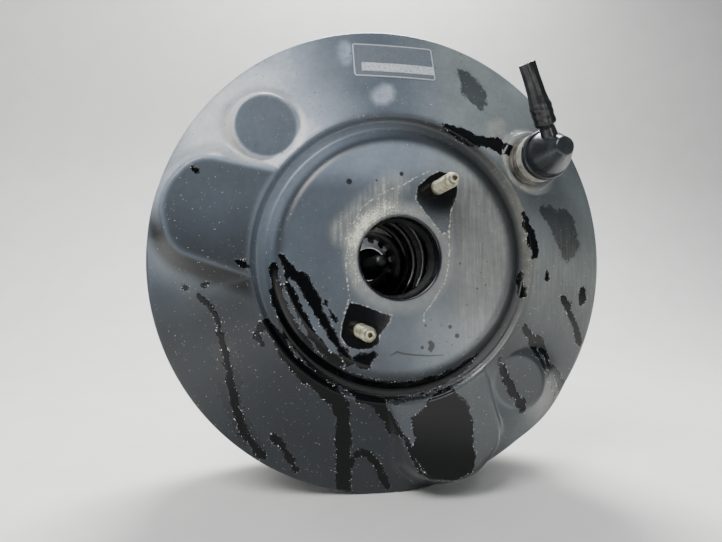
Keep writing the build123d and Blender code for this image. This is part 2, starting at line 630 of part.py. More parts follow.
def bulkhead_studs():
    """The four studs for the bulkhead."""
    depth = FACE_TO_FACE - REAR_STIFFENER_FRONT
    one = stud(BULKHEAD_STUD_LENGTH, depth).rotate(Axis.Z, 180)
    one = Pos(BULKHEAD_STUD_PITCH_RADIUS, FACE_TO_FACE, 0) * one
    return [at_angle(one, angle) for angle in BULKHEAD_STUD_ANGLES]


# ---------------------------------------------------------------------------- mouth seal
def mouth_seal():
    """Rubber ring behind the mouth that seals round the master cylinder's spigot."""
    front = STIFFENER_BACK + SEAT_GAP
    outer = SEAL_CUP_RADIUS - SEAL_CUP_SHEET - SEAT_GAP
    collar = MOUTH_COLLAR_RADIUS + SEAT_GAP
    return turned(
        (collar, front + MOUTH_ROUND),
        (collar + MOUTH_ROUND, front),
        (outer, front),
        (outer, SEAL_BACK_DEPTH - SEAL_CUP_SHEET),
        (outer - SEAL_CUP_SHEET, SEAL_BACK_DEPTH),
        (SEAL_LIP_RADIUS + SEAL_LIP_WIDTH, SEAL_BACK_DEPTH),
        (SEAL_LIP_RADIUS, SEAL_BACK_DEPTH - SEAL_LIP_SETBACK),
        (SEAL_LIP_RADIUS + SEAL_LIP_RISE, SEAL_BACK_DEPTH - SEAL_LIP_LENGTH),
        (MOUTH_RADIUS + SEAL_LIP_WIDTH, COLLAR_LENGTH + SEAL_THROAT_LENGTH),
        (MOUTH_RADIUS + SEAL_THROAT_RISE, COLLAR_LENGTH + SEAT_GAP),
        (collar, COLLAR_LENGTH + SEAT_GAP),
    )


def seal_cup():
    """Pressed cup that holds the mouth seal, welded to the front stiffener."""
    front = STIFFENER_BACK + SEAT_GAP
    return pressed(
        (
            (SEAL_CUP_RADIUS, front),
            (SEAL_CUP_RADIUS, SEAL_BACK_DEPTH + SEAT_GAP + SEAL_CUP_SHEET),
            (SEAL_CUP_LIP_RADIUS, SEAL_BACK_DEPTH + SEAT_GAP + SEAL_CUP_SHEET),
        ),
        (SEAL_CUP_BEND,),
        SEAL_CUP_SHEET,
    )


# ---------------------------------------------------------------------------- rear shell
def rear_shell():
    """Deep pressed rear shell: flange, wall, stepped back, flat face and neck."""
    wall_end = REAR_WALL_RADIUS - REAR_WALL_DRAFT
    shell = pressed(
        (
            (REAR_FLANGE_RADIUS, REAR_FLANGE_BACK),
            (REAR_WALL_RADIUS, REAR_FLANGE_BACK),
            (wall_end, REAR_CORNER_DEPTH),
            (REAR_STEP_RADIUS, REAR_STEP_DEPTH),
            (REAR_FACE_RADIUS, FACE_TO_FACE),
            (NECK_RADIUS, FACE_TO_FACE),
            (NECK_RADIUS, NECK_END),
            (NECK_LIP_RADIUS, NECK_END),
        ),
        (
            REAR_FLANGE_BEND,
            REAR_CORNER_ROUND,
            REAR_STEP_BEND,
            REAR_FACE_BEND,
            NECK_ROOT_BEND,
            NECK_LIP_BEND,
        ),
        SHELL_SHEET,
    )
    for angle in BULKHEAD_STUD_ANGLES:
        hole = rod(
            STUD_SEAT_RADIUS + SEAT_GAP, FLANGE_BACK, FACE_TO_FACE + 1, BULKHEAD_STUD_PITCH_RADIUS
        )
        shell -= at_angle(hole, angle)
    return shell


def neck_guide():
    """Plastic guide ring that the control housing's tail slides in."""
    outer = NECK_RADIUS - SHELL_SHEET - SEAT_GAP
    inner = TAIL_RADIUS + RUN_CLEARANCE
    front = FACE_TO_FACE + SHELL_SHEET
    back = front + GUIDE_LENGTH
    return turned(
        (inner + EDGE, front), (outer, front), (outer, back), (inner, back), (inner, front + EDGE)
    )


def neck_seal():
    """Rubber lip seal behind the guide ring."""
    outer = NECK_RADIUS - SHELL_SHEET - SEAT_GAP
    lip = TAIL_RADIUS + REST_GAP
    front = FACE_TO_FACE + SHELL_SHEET + GUIDE_LENGTH + SEAT_GAP
    back = NECK_END - SHELL_SHEET - SEAT_GAP
    return turned(
        (lip + NECK_SEAL_SLOPE_WIDTH, front),
        (outer, front),
        (outer, back - SHELL_SHEET),
        (outer - SHELL_SHEET, back),
        (lip + NECK_SEAL_LIP_WIDTH, back),
        (lip, back - NECK_SEAL_LIP_WIDTH),
        (lip + NECK_SEAL_LIP_RISE, back - 2 * NECK_SEAL_LIP_WIDTH),
    )


# ----------------------------------------------------------------------- control housing
def control_housing():
    """Moulded housing: hub, flange, tail and the bores of the valve inside it."""
    plunger_bore = PLUNGER_RADIUS + RUN_CLEARANCE
    seat_in = VALVE_SEAT_RADIUS - VALVE_SEAT_WIDTH / 2
    seat_out = VALVE_SEAT_RADIUS + VALVE_SEAT_WIDTH / 2
    housing = turned(
        (plunger_bore, DISC_FLOOR),
        (DISC_BORE_RADIUS, DISC_FLOOR),
        (DISC_BORE_RADIUS, BOSS_FRONT),
        (BOSS_RADIUS - EDGE, BOSS_FRONT),
        (BOSS_RADIUS, BOSS_FRONT + EDGE),
        (BOSS_RADIUS, HUB_FLOOR),
        (HUB_BORE_RADIUS, HUB_FLOOR),
        (HUB_BORE_RADIUS, HUB_FRONT + EDGE),
        (HUB_BORE_RADIUS + EDGE, HUB_FRONT),
        (HUB_RADIUS - EDGE, HUB_FRONT),
        (HUB_RADIUS, HUB_FRONT + EDGE),
        (HUB_RADIUS, FLANGE_FRONT),
        (FLANGE_RADIUS, FLANGE_FRONT),
        (FLANGE_RADIUS, FLANGE_BACK),
        (TAIL_RADIUS, FLANGE_BACK),
        (TAIL_RADIUS, TAIL_END - EDGE),
        (TAIL_RADIUS - EDGE, TAIL_END),
        (FILTER_BORE_RADIUS, TAIL_END),
        (FILTER_BORE_RADIUS, CHAMBER_END),
        (VALVE_CHAMBER_RADIUS, CHAMBER_END),
        (VALVE_CHAMBER_RADIUS, VALVE_FLOOR),
        (seat_out, VALVE_FLOOR),
        (VALVE_SEAT_RADIUS + VALVE_SEAT_CREST, VALVE_SEAT_EDGE),
        (VALVE_SEAT_RADIUS - VALVE_SEAT_CREST, VALVE_SEAT_EDGE),
        (seat_in, VALVE_FLOOR),
        (AIR_PASSAGE_RADIUS, VALVE_FLOOR),
        (AIR_PASSAGE_RADIUS, KEY_BACK),
        (plunger_bore, KEY_BACK),
    )
    port = rod(VACUUM_PORT_RADIUS, HUB_FLOOR - 1, VALVE_FLOOR + 1, VACUUM_PORT_PITCH_RADIUS)
    housing -= [at_angle(port, angle) for angle in VACUUM_PORT_ANGLES]
    slot_height = KEY_SHEET + 2 * KEY_PLAY
    slot = Pos(0, (KEY_FRONT + KEY_BACK) / 2, 0) * Box(
        KEY_SPAN + 2 * KEY_END_PLAY, slot_height, KEY_WIDTH + 2 * REST_GAP
    )
    return housing - slot


def stop_key():
    """Flat U-shaped key through the housing that keeps the plunger in."""
    depth = (KEY_FRONT + KEY_BACK) / 2
    blade = Pos(0, depth, 0) * Box(KEY_SPAN, KEY_SHEET, KEY_WIDTH)
    mouth_width = 2 * (PLUNGER_GROOVE_RADIUS + REST_GAP)
    mouth = Pos(KEY_SPAN / 2, depth, 0) * Box(KEY_SPAN, KEY_SHEET + 1, mouth_width)
    mouth += Pos(0, depth, 0) * Cylinder(mouth_width / 2, KEY_SHEET + 1, rotation=(90, 0, 0))
    return blade - mouth


# ----------------------------------------------------- diaphragm, plate and return spring
def plate_skin(back_off):
    """The diaphragm plate's back skin, moved back by back_off."""
    seat = PLATE_BACK + back_off
    ring = seat - PLATE_RISE
    return (
        (HUB_RADIUS + SEAT_GAP, seat),
        (PLATE_SEAT_RADIUS, seat),
        (PLATE_SHOULDER_RADIUS, ring),
        (PLATE_EDGE_RADIUS, ring - PLATE_EDGE_RISE),
        (PLATE_EDGE_RADIUS + PLATE_CURL, ring - PLATE_EDGE_RISE + PLATE_CURL),
    )


def diaphragm_plate():
    """Pressed plate that carries the diaphragm's load to the housing."""
    return pressed(plate_skin(0), PLATE_BENDS, PLATE_SHEET, Side.RIGHT)


def diaphragm():
    """Rubber diaphragm: inner bead, sheet behind the plate, rolling wall, outer bead."""
    start, seat, shoulder, edge, curl = plate_skin(SEAT_GAP)
    roll_depth = curl[1] + ROLL_SETBACK
    bead_middle = RIM_BEAD_FRONT + RIM_BEAD_LENGTH / 2
    sheet = pressed(
        (
            (BEAD_RADIUS - BEAD_OVERLAP, seat[1]),
            seat,
            shoulder,
            edge,
            (curl[0] + ROLL_SETBACK, roll_depth),
            (ROLL_RADIUS, roll_depth),
            (ROLL_RADIUS, bead_middle - RUBBER_SHEET / 2),
            (RIM_BEAD_INNER_RADIUS + RIM_BEAD_OVERLAP, bead_middle - RUBBER_SHEET / 2),
        ),
        (*PLATE_BENDS, *ROLL_BENDS),
        RUBBER_SHEET,
    )
    bead = turned(
        (start[0], BEAD_FRONT),
        (BEAD_RADIUS, BEAD_FRONT),
        (BEAD_RADIUS, BEAD_BACK),
        (start[0], BEAD_BACK),
    )
    inner = RIM_BEAD_INNER_RADIUS
    outer = RIM_BEAD_RADIUS
    edge = RIM_BEAD_EDGE
    rim = turned(
        (inner, cone_inside(inner) + SEAT_GAP + edge),
        (inner + edge, cone_inside(inner + edge) + SEAT_GAP),
        (outer - edge, cone_inside(outer - edge) + SEAT_GAP),
        (outer, cone_inside(outer) + SEAT_GAP + edge),
        (outer, RIM_BEAD_FRONT + RIM_BEAD_LENGTH),
        (inner, RIM_BEAD_FRONT + RIM_BEAD_LENGTH),
    )
    return sheet + bead + rim


def return_spring():
    """Conical spring that pushes the power piston back to rest."""
    front = STIFFENER_BACK + REST_GAP
    back = PLATE_FRONT - REST_GAP
    return coil(
        front, back, SPRING_FRONT_RADIUS, SPRING_BACK_RADIUS, SPRING_WIRE_RADIUS, SPRING_TURNS
    )


# --------------------------------------------------------- output rod, disc and retainer
def reaction_disc():
    """Rubber disc that splits the load between the housing and the plunger."""
    radius = DISC_BORE_RADIUS - SEAT_GAP
    return rod(radius, DISC_FRONT, DISC_BACK)


def output_rod():
    """Push rod for the master cylinder, with a broad head on the reaction disc."""
    head = DISC_BORE_RADIUS - SEAT_GAP
    bar = turned(
        (0, ROD_HEAD_BACK),
        (head, ROD_HEAD_BACK),
        (head, ROD_HEAD_FRONT + ROD_HEAD_LENGTH / 3),
        (head - ROD_HEAD_TAPER_WIDTH, ROD_HEAD_FRONT),
        (ROD_RADIUS + ROD_ROOT_RISE, ROD_HEAD_FRONT - ROD_HEAD_TAPER),
        (ROD_RADIUS, ROD_HEAD_FRONT - ROD_HEAD_TAPER - ROD_ROOT_LENGTH),
        (ROD_RADIUS, ROD_TIP),
        (0, ROD_TIP),
    )
    return fillet(bar.edges().group_by(Axis.Y)[0], ROD_RADIUS - ROD_TIP_FLAT)


def rod_retainer():
    """Spring-steel spider: a cone round the rod's head and spokes out to the hub."""
    spokes = BOSS_FRONT + RETAINER_SPOKE_DROP
    spider = pressed(
        (
            (RETAINER_LIP_RADIUS, HUB_FRONT),
            (BOSS_RADIUS + REST_GAP, BOSS_FRONT - RETAINER_BEND_LIFT),
            (HUB_BORE_RADIUS - SEAT_GAP - RETAINER_SHEET, spokes),
        ),
        (RETAINER_BEND,),
        RETAINER_SHEET,
        Side.RIGHT,
    )
    front = BOSS_FRONT - RETAINER_SPOKE_DROP
    back = spokes + RETAINER_SPOKE_DROP
    window = rod(RETAINER_WINDOW_RADIUS, front, back, RETAINER_WINDOW_PITCH_RADIUS)
    return spider - ring_of(window, RETAINER_SPOKES)


# ------------------------------------------------------------------ plunger and input rod
def valve_plunger():
    """Plunger with the key's groove, the air valve's rim and the rod's ball socket."""
    groove_front = KEY_FRONT - REST_GAP
    groove_back = KEY_BACK + PLUNGER_TRAVEL + REST_GAP
    plunger = turned(
        (0, PLUNGER_FRONT),
        (PLUNGER_RADIUS - EDGE, PLUNGER_FRONT),
        (PLUNGER_RADIUS, PLUNGER_FRONT + EDGE),
        (PLUNGER_RADIUS, groove_front),
        (PLUNGER_GROOVE_RADIUS, groove_front),
        (PLUNGER_GROOVE_RADIUS, groove_back),
        (PLUNGER_RADIUS, groove_back),
        (PLUNGER_RADIUS, PLUNGER_BACK),
        (0, PLUNGER_BACK),
    )
    socket = Pos(0, BALL_DEPTH, 0) * Sphere(BALL_RADIUS + RUN_CLEARANCE)
    flare = tan(radians(SOCKET_FLARE * ROD_TILT))
    mouth_end = SOCKET_MOUTH_RADIUS + BALL_DEPTH_IN_PLUNGER * flare
    mouth = turned(
        (0, BALL_DEPTH),
        (SOCKET_MOUTH_RADIUS, BALL_DEPTH),
        (mouth_end, PLUNGER_BACK + SEAT_GAP),
        (0, PLUNGER_BACK + SEAT_GAP),
    )
    return plunger - socket - mouth


def input_rod():
    """Rod from the pedal: a ball in the plunger, a spring collar and a threaded end."""
    neck_end = BALL_DEPTH + 2 * BALL_RADIUS
    collar_back = ROD_COLLAR_FRONT + ROD_COLLAR_LENGTH
    shank = turned(
        (0, BALL_DEPTH),
        (BALL_NECK_RADIUS, BALL_DEPTH),
        (BALL_NECK_RADIUS, neck_end),
        (INPUT_ROD_RADIUS, neck_end + BALL_NECK_TAPER),
        (INPUT_ROD_RADIUS, ROD_COLLAR_FRONT),
        (ROD_COLLAR_RADIUS, ROD_COLLAR_FRONT),
        (ROD_COLLAR_RADIUS, collar_back),
        (INPUT_ROD_RADIUS, collar_back),
        (INPUT_ROD_RADIUS, INPUT_ROD_END - EDGE),
        (INPUT_ROD_RADIUS - EDGE, INPUT_ROD_END),
        (0, INPUT_ROD_END),
    )
    return shank + Pos(0, BALL_DEPTH, 0) * Sphere(BALL_RADIUS)


# ---------------------------------------------------------------- poppet, filter and boot
def poppet_valve():
    """Rubber poppet: a lip that meets both seats, a soft wall and a clamped bead."""
    lip_back = POPPET_FRONT + POPPET_LIP_LENGTH
    wall = POPPET_LIP_RADIUS - POPPET_WALL
    bead = FILTER_BORE_RADIUS - SEAT_GAP
    return turned(
        (POPPET_BORE_RADIUS, POPPET_FRONT),
        (POPPET_LIP_RADIUS, POPPET_FRONT),
        (POPPET_LIP_RADIUS, CHAMBER_END + SEAT_GAP),
        (bead, CHAMBER_END + SEAT_GAP),
        (bead, POPPET_BACK),
        (wall, POPPET_BACK),
        (wall, lip_back),
        (POPPET_BORE_RADIUS, lip_back),
    )


def poppet_sleeve():
    """Pressed ring that clamps the poppet's bead and seats both springs."""
    outer = FILTER_BORE_RADIUS - SEAT_GAP
    return turned(
        (SLEEVE_BORE_RADIUS, SLEEVE_FRONT),
        (outer, SLEEVE_FRONT),
        (outer, SLEEVE_BACK + SLEEVE_SKIRT),
        (outer - SLEEVE_SHEET, SLEEVE_BACK + SLEEVE_SKIRT),
        (outer - SLEEVE_SHEET, SLEEVE_BACK),
        (SLEEVE_BORE_RADIUS, SLEEVE_BACK),
    )


def poppet_spring():
    """Light spring that holds the poppet's lip forward."""
    front = POPPET_FRONT + POPPET_LIP_LENGTH + SEAT_GAP
    back = SLEEVE_FRONT - SEAT_GAP
    radius = POPPET_SPRING_RADIUS
    return coil(front, back, radius, radius, POPPET_SPRING_WIRE, POPPET_SPRING_TURNS)


def input_spring():
    """Conical spring that returns the input rod and the plunger."""
    front = SLEEVE_BACK + SEAT_GAP
    back = ROD_COLLAR_FRONT - SEAT_GAP
    return coil(
        front,
        back,
        INPUT_SPRING_FRONT_RADIUS,
        INPUT_SPRING_BACK_RADIUS,
        INPUT_SPRING_WIRE,
        INPUT_SPRING_TURNS,
    )


def air_filter():
    """Foam ring in the tail that cleans and quietens the air."""
    outer = FILTER_BORE_RADIUS - SEAT_GAP
    return rod(outer, FILTER_FRONT, FILTER_BACK) - rod(
        FILTER_HOLE_RADIUS, FILTER_FRONT - 1, FILTER_BACK + 1
    )


def filter_cap():
    """Moulded grid pressed into the tail's end to keep the filter in."""
    outer = FILTER_BORE_RADIUS - SEAT_GAP
    cap = rod(outer, CAP_FRONT, CAP_BACK) - rod(FILTER_HOLE_RADIUS, CAP_FRONT - 1, CAP_BACK + 1)
    slot_radius = (outer + FILTER_HOLE_RADIUS) / 2
    slot = rod(CAP_SLOT_RADIUS, CAP_FRONT - 1, CAP_BACK + 1, slot_radius)
    return cap - ring_of(slot, CAP_SLOTS)


def dust_boot():
    """Rubber bellows from the rear shell's neck over the tail to the input rod."""
    cuff = NECK_RADIUS + SEAT_GAP
    cuff_front = NECK_END - BOOT_CUFF_LENGTH
    wave_start = NECK_END + BOOT_START_GAP
    wave_end = TAIL_END + BOOT_END_GAP
    pitch = (wave_end - wave_start) / BOOT_WAVES
    nose_radius = INPUT_ROD_RADIUS + REST_GAP
    nose_start = wave_end + BOOT_NOSE_LENGTH
    nose_end = nose_start + BOOT_NOSE_GRIP
    skin = [(cuff, cuff_front), (cuff, wave_start)]
    for wave in range(BOOT_WAVES):
        skin.append((BOOT_VALLEY_RADIUS, wave_start + (wave + BOOT_VALLEY_SHARE) * pitch))
        skin.append((BOOT_PEAK_RADIUS, wave_start + (wave + BOOT_PEAK_SHARE) * pitch))
    skin += [
        (BOOT_VALLEY_RADIUS, wave_end + BOOT_VALLEY_SHARE * pitch),
        (nose_radius, nose_start),
        (nose_radius, nose_end),
    ]
    bends = (BOOT_BEND,) * (len(skin) - 2)
    return pressed(skin, bends, BOOT_SHEET, Side.RIGHT)


# -------------------------------------------------------------------------------- clevis
def clevis():
    """Forked end for the pedal's pin, tapped onto the input rod."""
    back = INPUT_ROD_END - CLEVIS_THREAD_LENGTH + CLEVIS_LENGTH
    front = back - CLEVIS_LENGTH
    block = Pos(0, (front + back) / 2, 0) * Box(CLEVIS_WIDTH, CLEVIS_LENGTH, CLEVIS_HEIGHT)
    cheek_round = (CLEVIS_HEIGHT - CLEVIS_END_FLAT) / 2
    block = fillet(block.edges().filter_by(Axis.X).group_by(Axis.Y)[-1], cheek_round)
    gap_front = back - CLEVIS_SLOT_LENGTH
    gap = Pos(0, back - CLEVIS_SLOT_LENGTH / 2, 0) * Box(
        CLEVIS_GAP, CLEVIS_SLOT_LENGTH, CLEVIS_HEIGHT + 1
    )
    eye = Pos(0, back - CLEVIS_PIN_SETBACK, 0) * Cylinder(
        CLEVIS_PIN_RADIUS, CLEVIS_WIDTH + 1, rotation=(0, 90, 0)
    )
    bore = rod(INPUT_ROD_RADIUS + SEAT_GAP, front - 1, gap_front + 1)
    return block - gap - eye - bore


def lock_nut():
    """Hexagon nut that locks the clevis on the rod."""
    back = INPUT_ROD_END - CLEVIS_THREAD_LENGTH - SEAT_GAP
    corner = NUT_ACROSS_FLATS / 2 / cos(radians(30))
    hexagon = depth_plane(back) * RegularPolygon(corner, 6)
    nut = extrude(hexagon, amount=NUT_HEIGHT)
    return nut - rod(INPUT_ROD_RADIUS + SEAT_GAP, back - NUT_HEIGHT - 1, back + 1)


# --------------------------------------------------------------------------- check valve
def at_valve(shape):
    """Move a piece that was made on the Y axis to the check valve's axis."""
    return Pos(VALVE_X, 0, VALVE_Z) * shape


def valve_grommet():
    """Rubber grommet in the shell's hole that holds the check valve."""
    neck = VALVE_HOLE_RADIUS - SEAT_GAP
    bore = VALVE_STEM_RADIUS + SEAT_GAP
    shell_back = VALVE_PAD_DEPTH + SHELL_SHEET + SEAT_GAP
    grommet = turned(
        (bore, GROMMET_FRONT),
        (GROMMET_RADIUS - GROMMET_EDGE, GROMMET_FRONT),
        (GROMMET_RADIUS, GROMMET_FRONT + GROMMET_EDGE),
        (GROMMET_RADIUS - GROMMET_FOOT_DRAW, VALVE_PAD_DEPTH - SEAT_GAP),
        (neck, VALVE_PAD_DEPTH - SEAT_GAP),
        (neck, shell_back),
        (GROMMET_BACK_RADIUS, shell_back),
        (GROMMET_BACK_RADIUS - GROMMET_BACK_TAPER, shell_back + GROMMET_BACK_LENGTH),
        (bore, shell_back + GROMMET_BACK_LENGTH),
    )
    return at_valve(grommet)


def valve_body():
    """Pale moulded base of the check valve with its stem through the grommet."""
    stem_end = VALVE_BODY_BACK + VALVE_STEM_LENGTH
    seat = VALVE_BODY_FRONT + VALVE_SEAT_RECESS
    outer = VALVE_BODY_RADIUS
    chamber = VALVE_CAP_RADIUS - VALVE_CAP_WALL
    recess = chamber - VALVE_RECESS_MARGIN
    barb_start = stem_end - VALVE_BARB_LENGTH
    body = turned(
        (VALVE_SEAT_BORE, seat),
        (VALVE_SEAT_BORE + VALVE_RIDGE_WIDTH / 2, seat - VALVE_RIDGE_HEIGHT),
        (VALVE_SEAT_BORE + VALVE_RIDGE_WIDTH, seat),
        (recess, seat),
        (recess, VALVE_BODY_FRONT),
        (outer - VALVE_BODY_EDGE, VALVE_BODY_FRONT),
        (outer, VALVE_BODY_FRONT + VALVE_BODY_EDGE),
        (outer, VALVE_BODY_BACK - EDGE),
        (outer - EDGE, VALVE_BODY_BACK),
        (VALVE_STEM_RADIUS, VALVE_BODY_BACK),
        (VALVE_STEM_RADIUS, barb_start - VALVE_BARB_STEP),
        (VALVE_STEM_RADIUS + VALVE_BARB, barb_start),
        (VALVE_STEM_RADIUS - VALVE_STEM_END_DRAW, stem_end),
        (VALVE_SEAT_BORE, stem_end),
    )
    return at_valve(body)


def nipple_frame():
    """The nipple's own plane: origin on the valve's axis, normal along the nipple."""
    lean = radians(NIPPLE_LEAN)
    turn = radians(NIPPLE_ANGLE)
    direction = (cos(lean) * cos(turn), -sin(lean), cos(lean) * sin(turn))
    return Plane(origin=(VALVE_X, NIPPLE_DEPTH, VALVE_Z), z_dir=direction)


def along_nipple(*outline):
    """A solid turned about the nipple's axis from (radius, distance) points."""
    profile = make_face(Polyline(*outline, close=True))
    return nipple_frame() * Pos(0, 0, 0) * revolve(profile, axis=Axis.Y).rotate(Axis.X, 90)


def valve_cap():
    """Black domed cap of the check valve with its side nipple."""
    inner = VALVE_CAP_RADIUS - VALVE_CAP_WALL
    shoulder = CAP_FLANGE_FRONT - VALVE_CAP_BEVEL_RISE
    dome_radius = VALVE_CAP_RADIUS - VALVE_CAP_STEP
    dome = FilletPolyline(
        (0, CAP_TIP),
        (VALVE_CAP_TIP_RADIUS, CAP_TIP),
        (dome_radius, shoulder - DOME_SHOULDER),
        (dome_radius, shoulder),
        radius=(VALVE_CAP_TIP_ROUND, DOME_ROUND),
    )
    flange = Polyline(
        (dome_radius, shoulder),
        (VALVE_CAP_RADIUS - VALVE_CAP_BEVEL, shoulder),
        (VALVE_CAP_RADIUS, CAP_FLANGE_FRONT),
        (VALVE_CAP_RADIUS, CAP_FLANGE_BACK),
        (0, CAP_FLANGE_BACK),
        (0, CAP_TIP),
    )
    cap = at_valve(revolve(make_face(dome + flange), axis=Axis.Y))
    barb_start = NIPPLE_LENGTH - NIPPLE_BARB_LENGTH
    cap += along_nipple(
        (0, 0),
        (NIPPLE_RADIUS + NIPPLE_ROOT_RISE, 0),
        (NIPPLE_RADIUS + NIPPLE_WAIST_RISE, VALVE_CAP_RADIUS - VALVE_CAVITY_MARGIN),
        (NIPPLE_RADIUS, HOSE_START - REST_GAP),
        (NIPPLE_RADIUS, barb_start - NIPPLE_BARB_STEP),
        (NIPPLE_RADIUS + NIPPLE_BARB, barb_start),
        (NIPPLE_RADIUS - NIPPLE_END_DRAW, NIPPLE_LENGTH),
        (0, NIPPLE_LENGTH),
    )
    cavity = at_valve(
        turned(
            (0, CAVITY_FRONT),
            (VALVE_DISC_RADIUS - VALVE_CAVITY_MARGIN, CAVITY_FRONT),
            (inner - VALVE_CAVITY_DRAW, CAP_FLANGE_FRONT - VALVE_CAVITY_SHOULDER),
            (inner - VALVE_CAVITY_DRAW, CAP_FLANGE_BACK + 1),
            (0, CAP_FLANGE_BACK + 1),
        )
    )
    bore_end = NIPPLE_LENGTH + 1
    bore = along_nipple(
        (0, 0), (NIPPLE_BORE_RADIUS, 0), (NIPPLE_BORE_RADIUS, bore_end), (0, bore_end)
    )
    return cap - cavity - bore


def valve_disc():
    """Rubber disc that lets air out of the booster and not back in."""
    pip_front = VALVE_DISC_FRONT - VALVE_DISC_PIP_LENGTH
    disc = turned(
        (0, pip_front),
        (VALVE_DISC_PIP_RADIUS, pip_front),
        (VALVE_DISC_PIP_RADIUS, VALVE_DISC_FRONT),
        (VALVE_DISC_RADIUS, VALVE_DISC_FRONT),
        (VALVE_DISC_RADIUS, VALVE_DISC_BACK),
        (0, VALVE_DISC_BACK),
    )
    return at_valve(disc)


def valve_spring():
    """Light spring that keeps the disc on its seat."""
    back = VALVE_DISC_FRONT - SEAT_GAP
    front = CAVITY_FRONT + SEAT_GAP
    radius = VALVE_SPRING_RADIUS
    return at_valve(coil(front, back, radius, radius, VALVE_SPRING_WIRE, VALVE_SPRING_TURNS))


def hose_stub():
    """Cut-off length of rubber vacuum hose, thicker where it grips the nipple."""
    start = HOSE_START
    collar_end = start + HOSE_COLLAR_LENGTH
    taper_end = collar_end + HOSE_TAPER_LENGTH
    end = start + HOSE_LENGTH
    grip = NIPPLE_RADIUS + SEAT_GAP
    barb_front = NIPPLE_LENGTH - NIPPLE_BARB_LENGTH - HOSE_BARB_MARGIN
    return along_nipple(
        (grip, start),
        (HOSE_COLLAR_RADIUS - EDGE, start),
        (HOSE_COLLAR_RADIUS, start + EDGE),
        (HOSE_COLLAR_RADIUS, collar_end),
        (HOSE_RADIUS, taper_end),
        (HOSE_RADIUS, end),
        (HOSE_BORE_RADIUS, end),
        (HOSE_BORE_RADIUS, NIPPLE_LENGTH + HOSE_BARB_MARGIN),
        (grip + HOSE_BARB_ROOM, NIPPLE_LENGTH),
        (grip + HOSE_BARB_ROOM, barb_front),
        (grip, barb_front - NIPPLE_BARB_STEP),
    )


# ------------------------------------------------------------------------- write it out
PIECES = {
    "front_shell": front_shell,
    "front_stiffener": front_stiffener,
    "cylinder_studs": cylinder_studs,
    "mouth_seal": mouth_seal,
    "seal_cup": seal_cup,
    "rear_shell": rear_shell,
    "rear_stiffener": rear_stiffener,
    "bulkhead_studs": bulkhead_studs,
    "neck_guide": neck_guide,
    "neck_seal": neck_seal,
    "dust_boot": dust_boot,
    "diaphragm": diaphragm,
    "diaphragm_plate": diaphragm_plate,
    "return_spring": return_spring,
    "control_housing": control_housing,
    "stop_key": stop_key,
    "reaction_disc": reaction_disc,
    "output_rod": output_rod,
    "rod_retainer": rod_retainer,
    "valve_plunger": valve_plunger,
    "input_rod": input_rod,
    "poppet_valve": poppet_valve,
    "poppet_sleeve": poppet_sleeve,
    "poppet_spring": poppet_spring,
    "input_spring": input_spring,
    "air_filter": air_filter,
    "filter_cap": filter_cap,
    "clevis": clevis,
    "lock_nut": lock_nut,
    "valve_grommet": valve_grommet,
    "valve_body": valve_body,
    "valve_cap": valve_cap,
    "valve_disc": valve_disc,
    "valve_spring": valve_spring,
    "hose_stub": hose_stub,
}


def main():
    """Build every piece and write each to its own file."""
    os.makedirs("parts", exist_ok=True)
    for name, build in PIECES.items():
        shape = build()
        if isinstance(shape, list):
            shape = Compound(children=shape)
        export_step(shape, f"parts/{name}.step")
        print(f"{name:16s} {shape.volume / 1000:9.2f} cm3")


if __name__ == "__main__":
    main()
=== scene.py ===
# %% [markdown]
# # A vacuum brake booster, dressed
# The booster is a round steel can that multiplies the push of the brake pedal. Its CAD model
# holds every solid at its real size. This lesson adds what CAD leaves out: the soft pressed skin
# of the front shell, threads, paint, rubber, zinc and dust. Blender works in metres; a name or
# comment that says mm is in millimetres.

# %% Open the frame
import json
import math
from functools import partial

import bpy
import numpy as np
from mathutils import Matrix, Vector


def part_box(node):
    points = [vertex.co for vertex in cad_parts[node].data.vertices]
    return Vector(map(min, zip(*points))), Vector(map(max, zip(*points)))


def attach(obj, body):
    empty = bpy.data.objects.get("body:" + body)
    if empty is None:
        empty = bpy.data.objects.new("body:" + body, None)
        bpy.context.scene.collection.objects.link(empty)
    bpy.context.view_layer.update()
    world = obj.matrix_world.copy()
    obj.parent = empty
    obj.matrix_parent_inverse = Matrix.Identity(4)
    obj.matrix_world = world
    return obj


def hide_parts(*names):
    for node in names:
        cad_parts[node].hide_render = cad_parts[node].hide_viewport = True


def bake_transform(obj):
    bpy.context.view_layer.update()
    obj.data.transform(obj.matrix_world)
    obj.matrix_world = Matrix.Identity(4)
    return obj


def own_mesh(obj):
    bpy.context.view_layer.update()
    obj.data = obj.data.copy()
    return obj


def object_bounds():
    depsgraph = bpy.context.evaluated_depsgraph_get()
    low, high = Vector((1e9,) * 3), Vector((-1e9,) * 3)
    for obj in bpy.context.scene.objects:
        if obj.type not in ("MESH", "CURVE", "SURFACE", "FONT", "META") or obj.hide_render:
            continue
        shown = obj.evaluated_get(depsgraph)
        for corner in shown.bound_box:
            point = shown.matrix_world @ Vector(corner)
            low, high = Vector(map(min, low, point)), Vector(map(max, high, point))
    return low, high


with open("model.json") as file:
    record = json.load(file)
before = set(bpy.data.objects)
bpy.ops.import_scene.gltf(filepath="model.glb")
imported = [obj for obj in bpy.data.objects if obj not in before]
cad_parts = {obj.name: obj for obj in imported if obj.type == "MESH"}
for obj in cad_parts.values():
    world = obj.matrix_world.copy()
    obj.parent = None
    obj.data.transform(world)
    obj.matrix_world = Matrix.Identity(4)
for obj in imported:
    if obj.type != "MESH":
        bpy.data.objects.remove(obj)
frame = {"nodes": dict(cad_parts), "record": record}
cad_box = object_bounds()


def in_mm(box):
    """A box's corners in mm, for printing."""
    return [[round(v * 1000, 1) for v in corner] for corner in box]


print("CAD box in mm:", in_mm(cad_box))

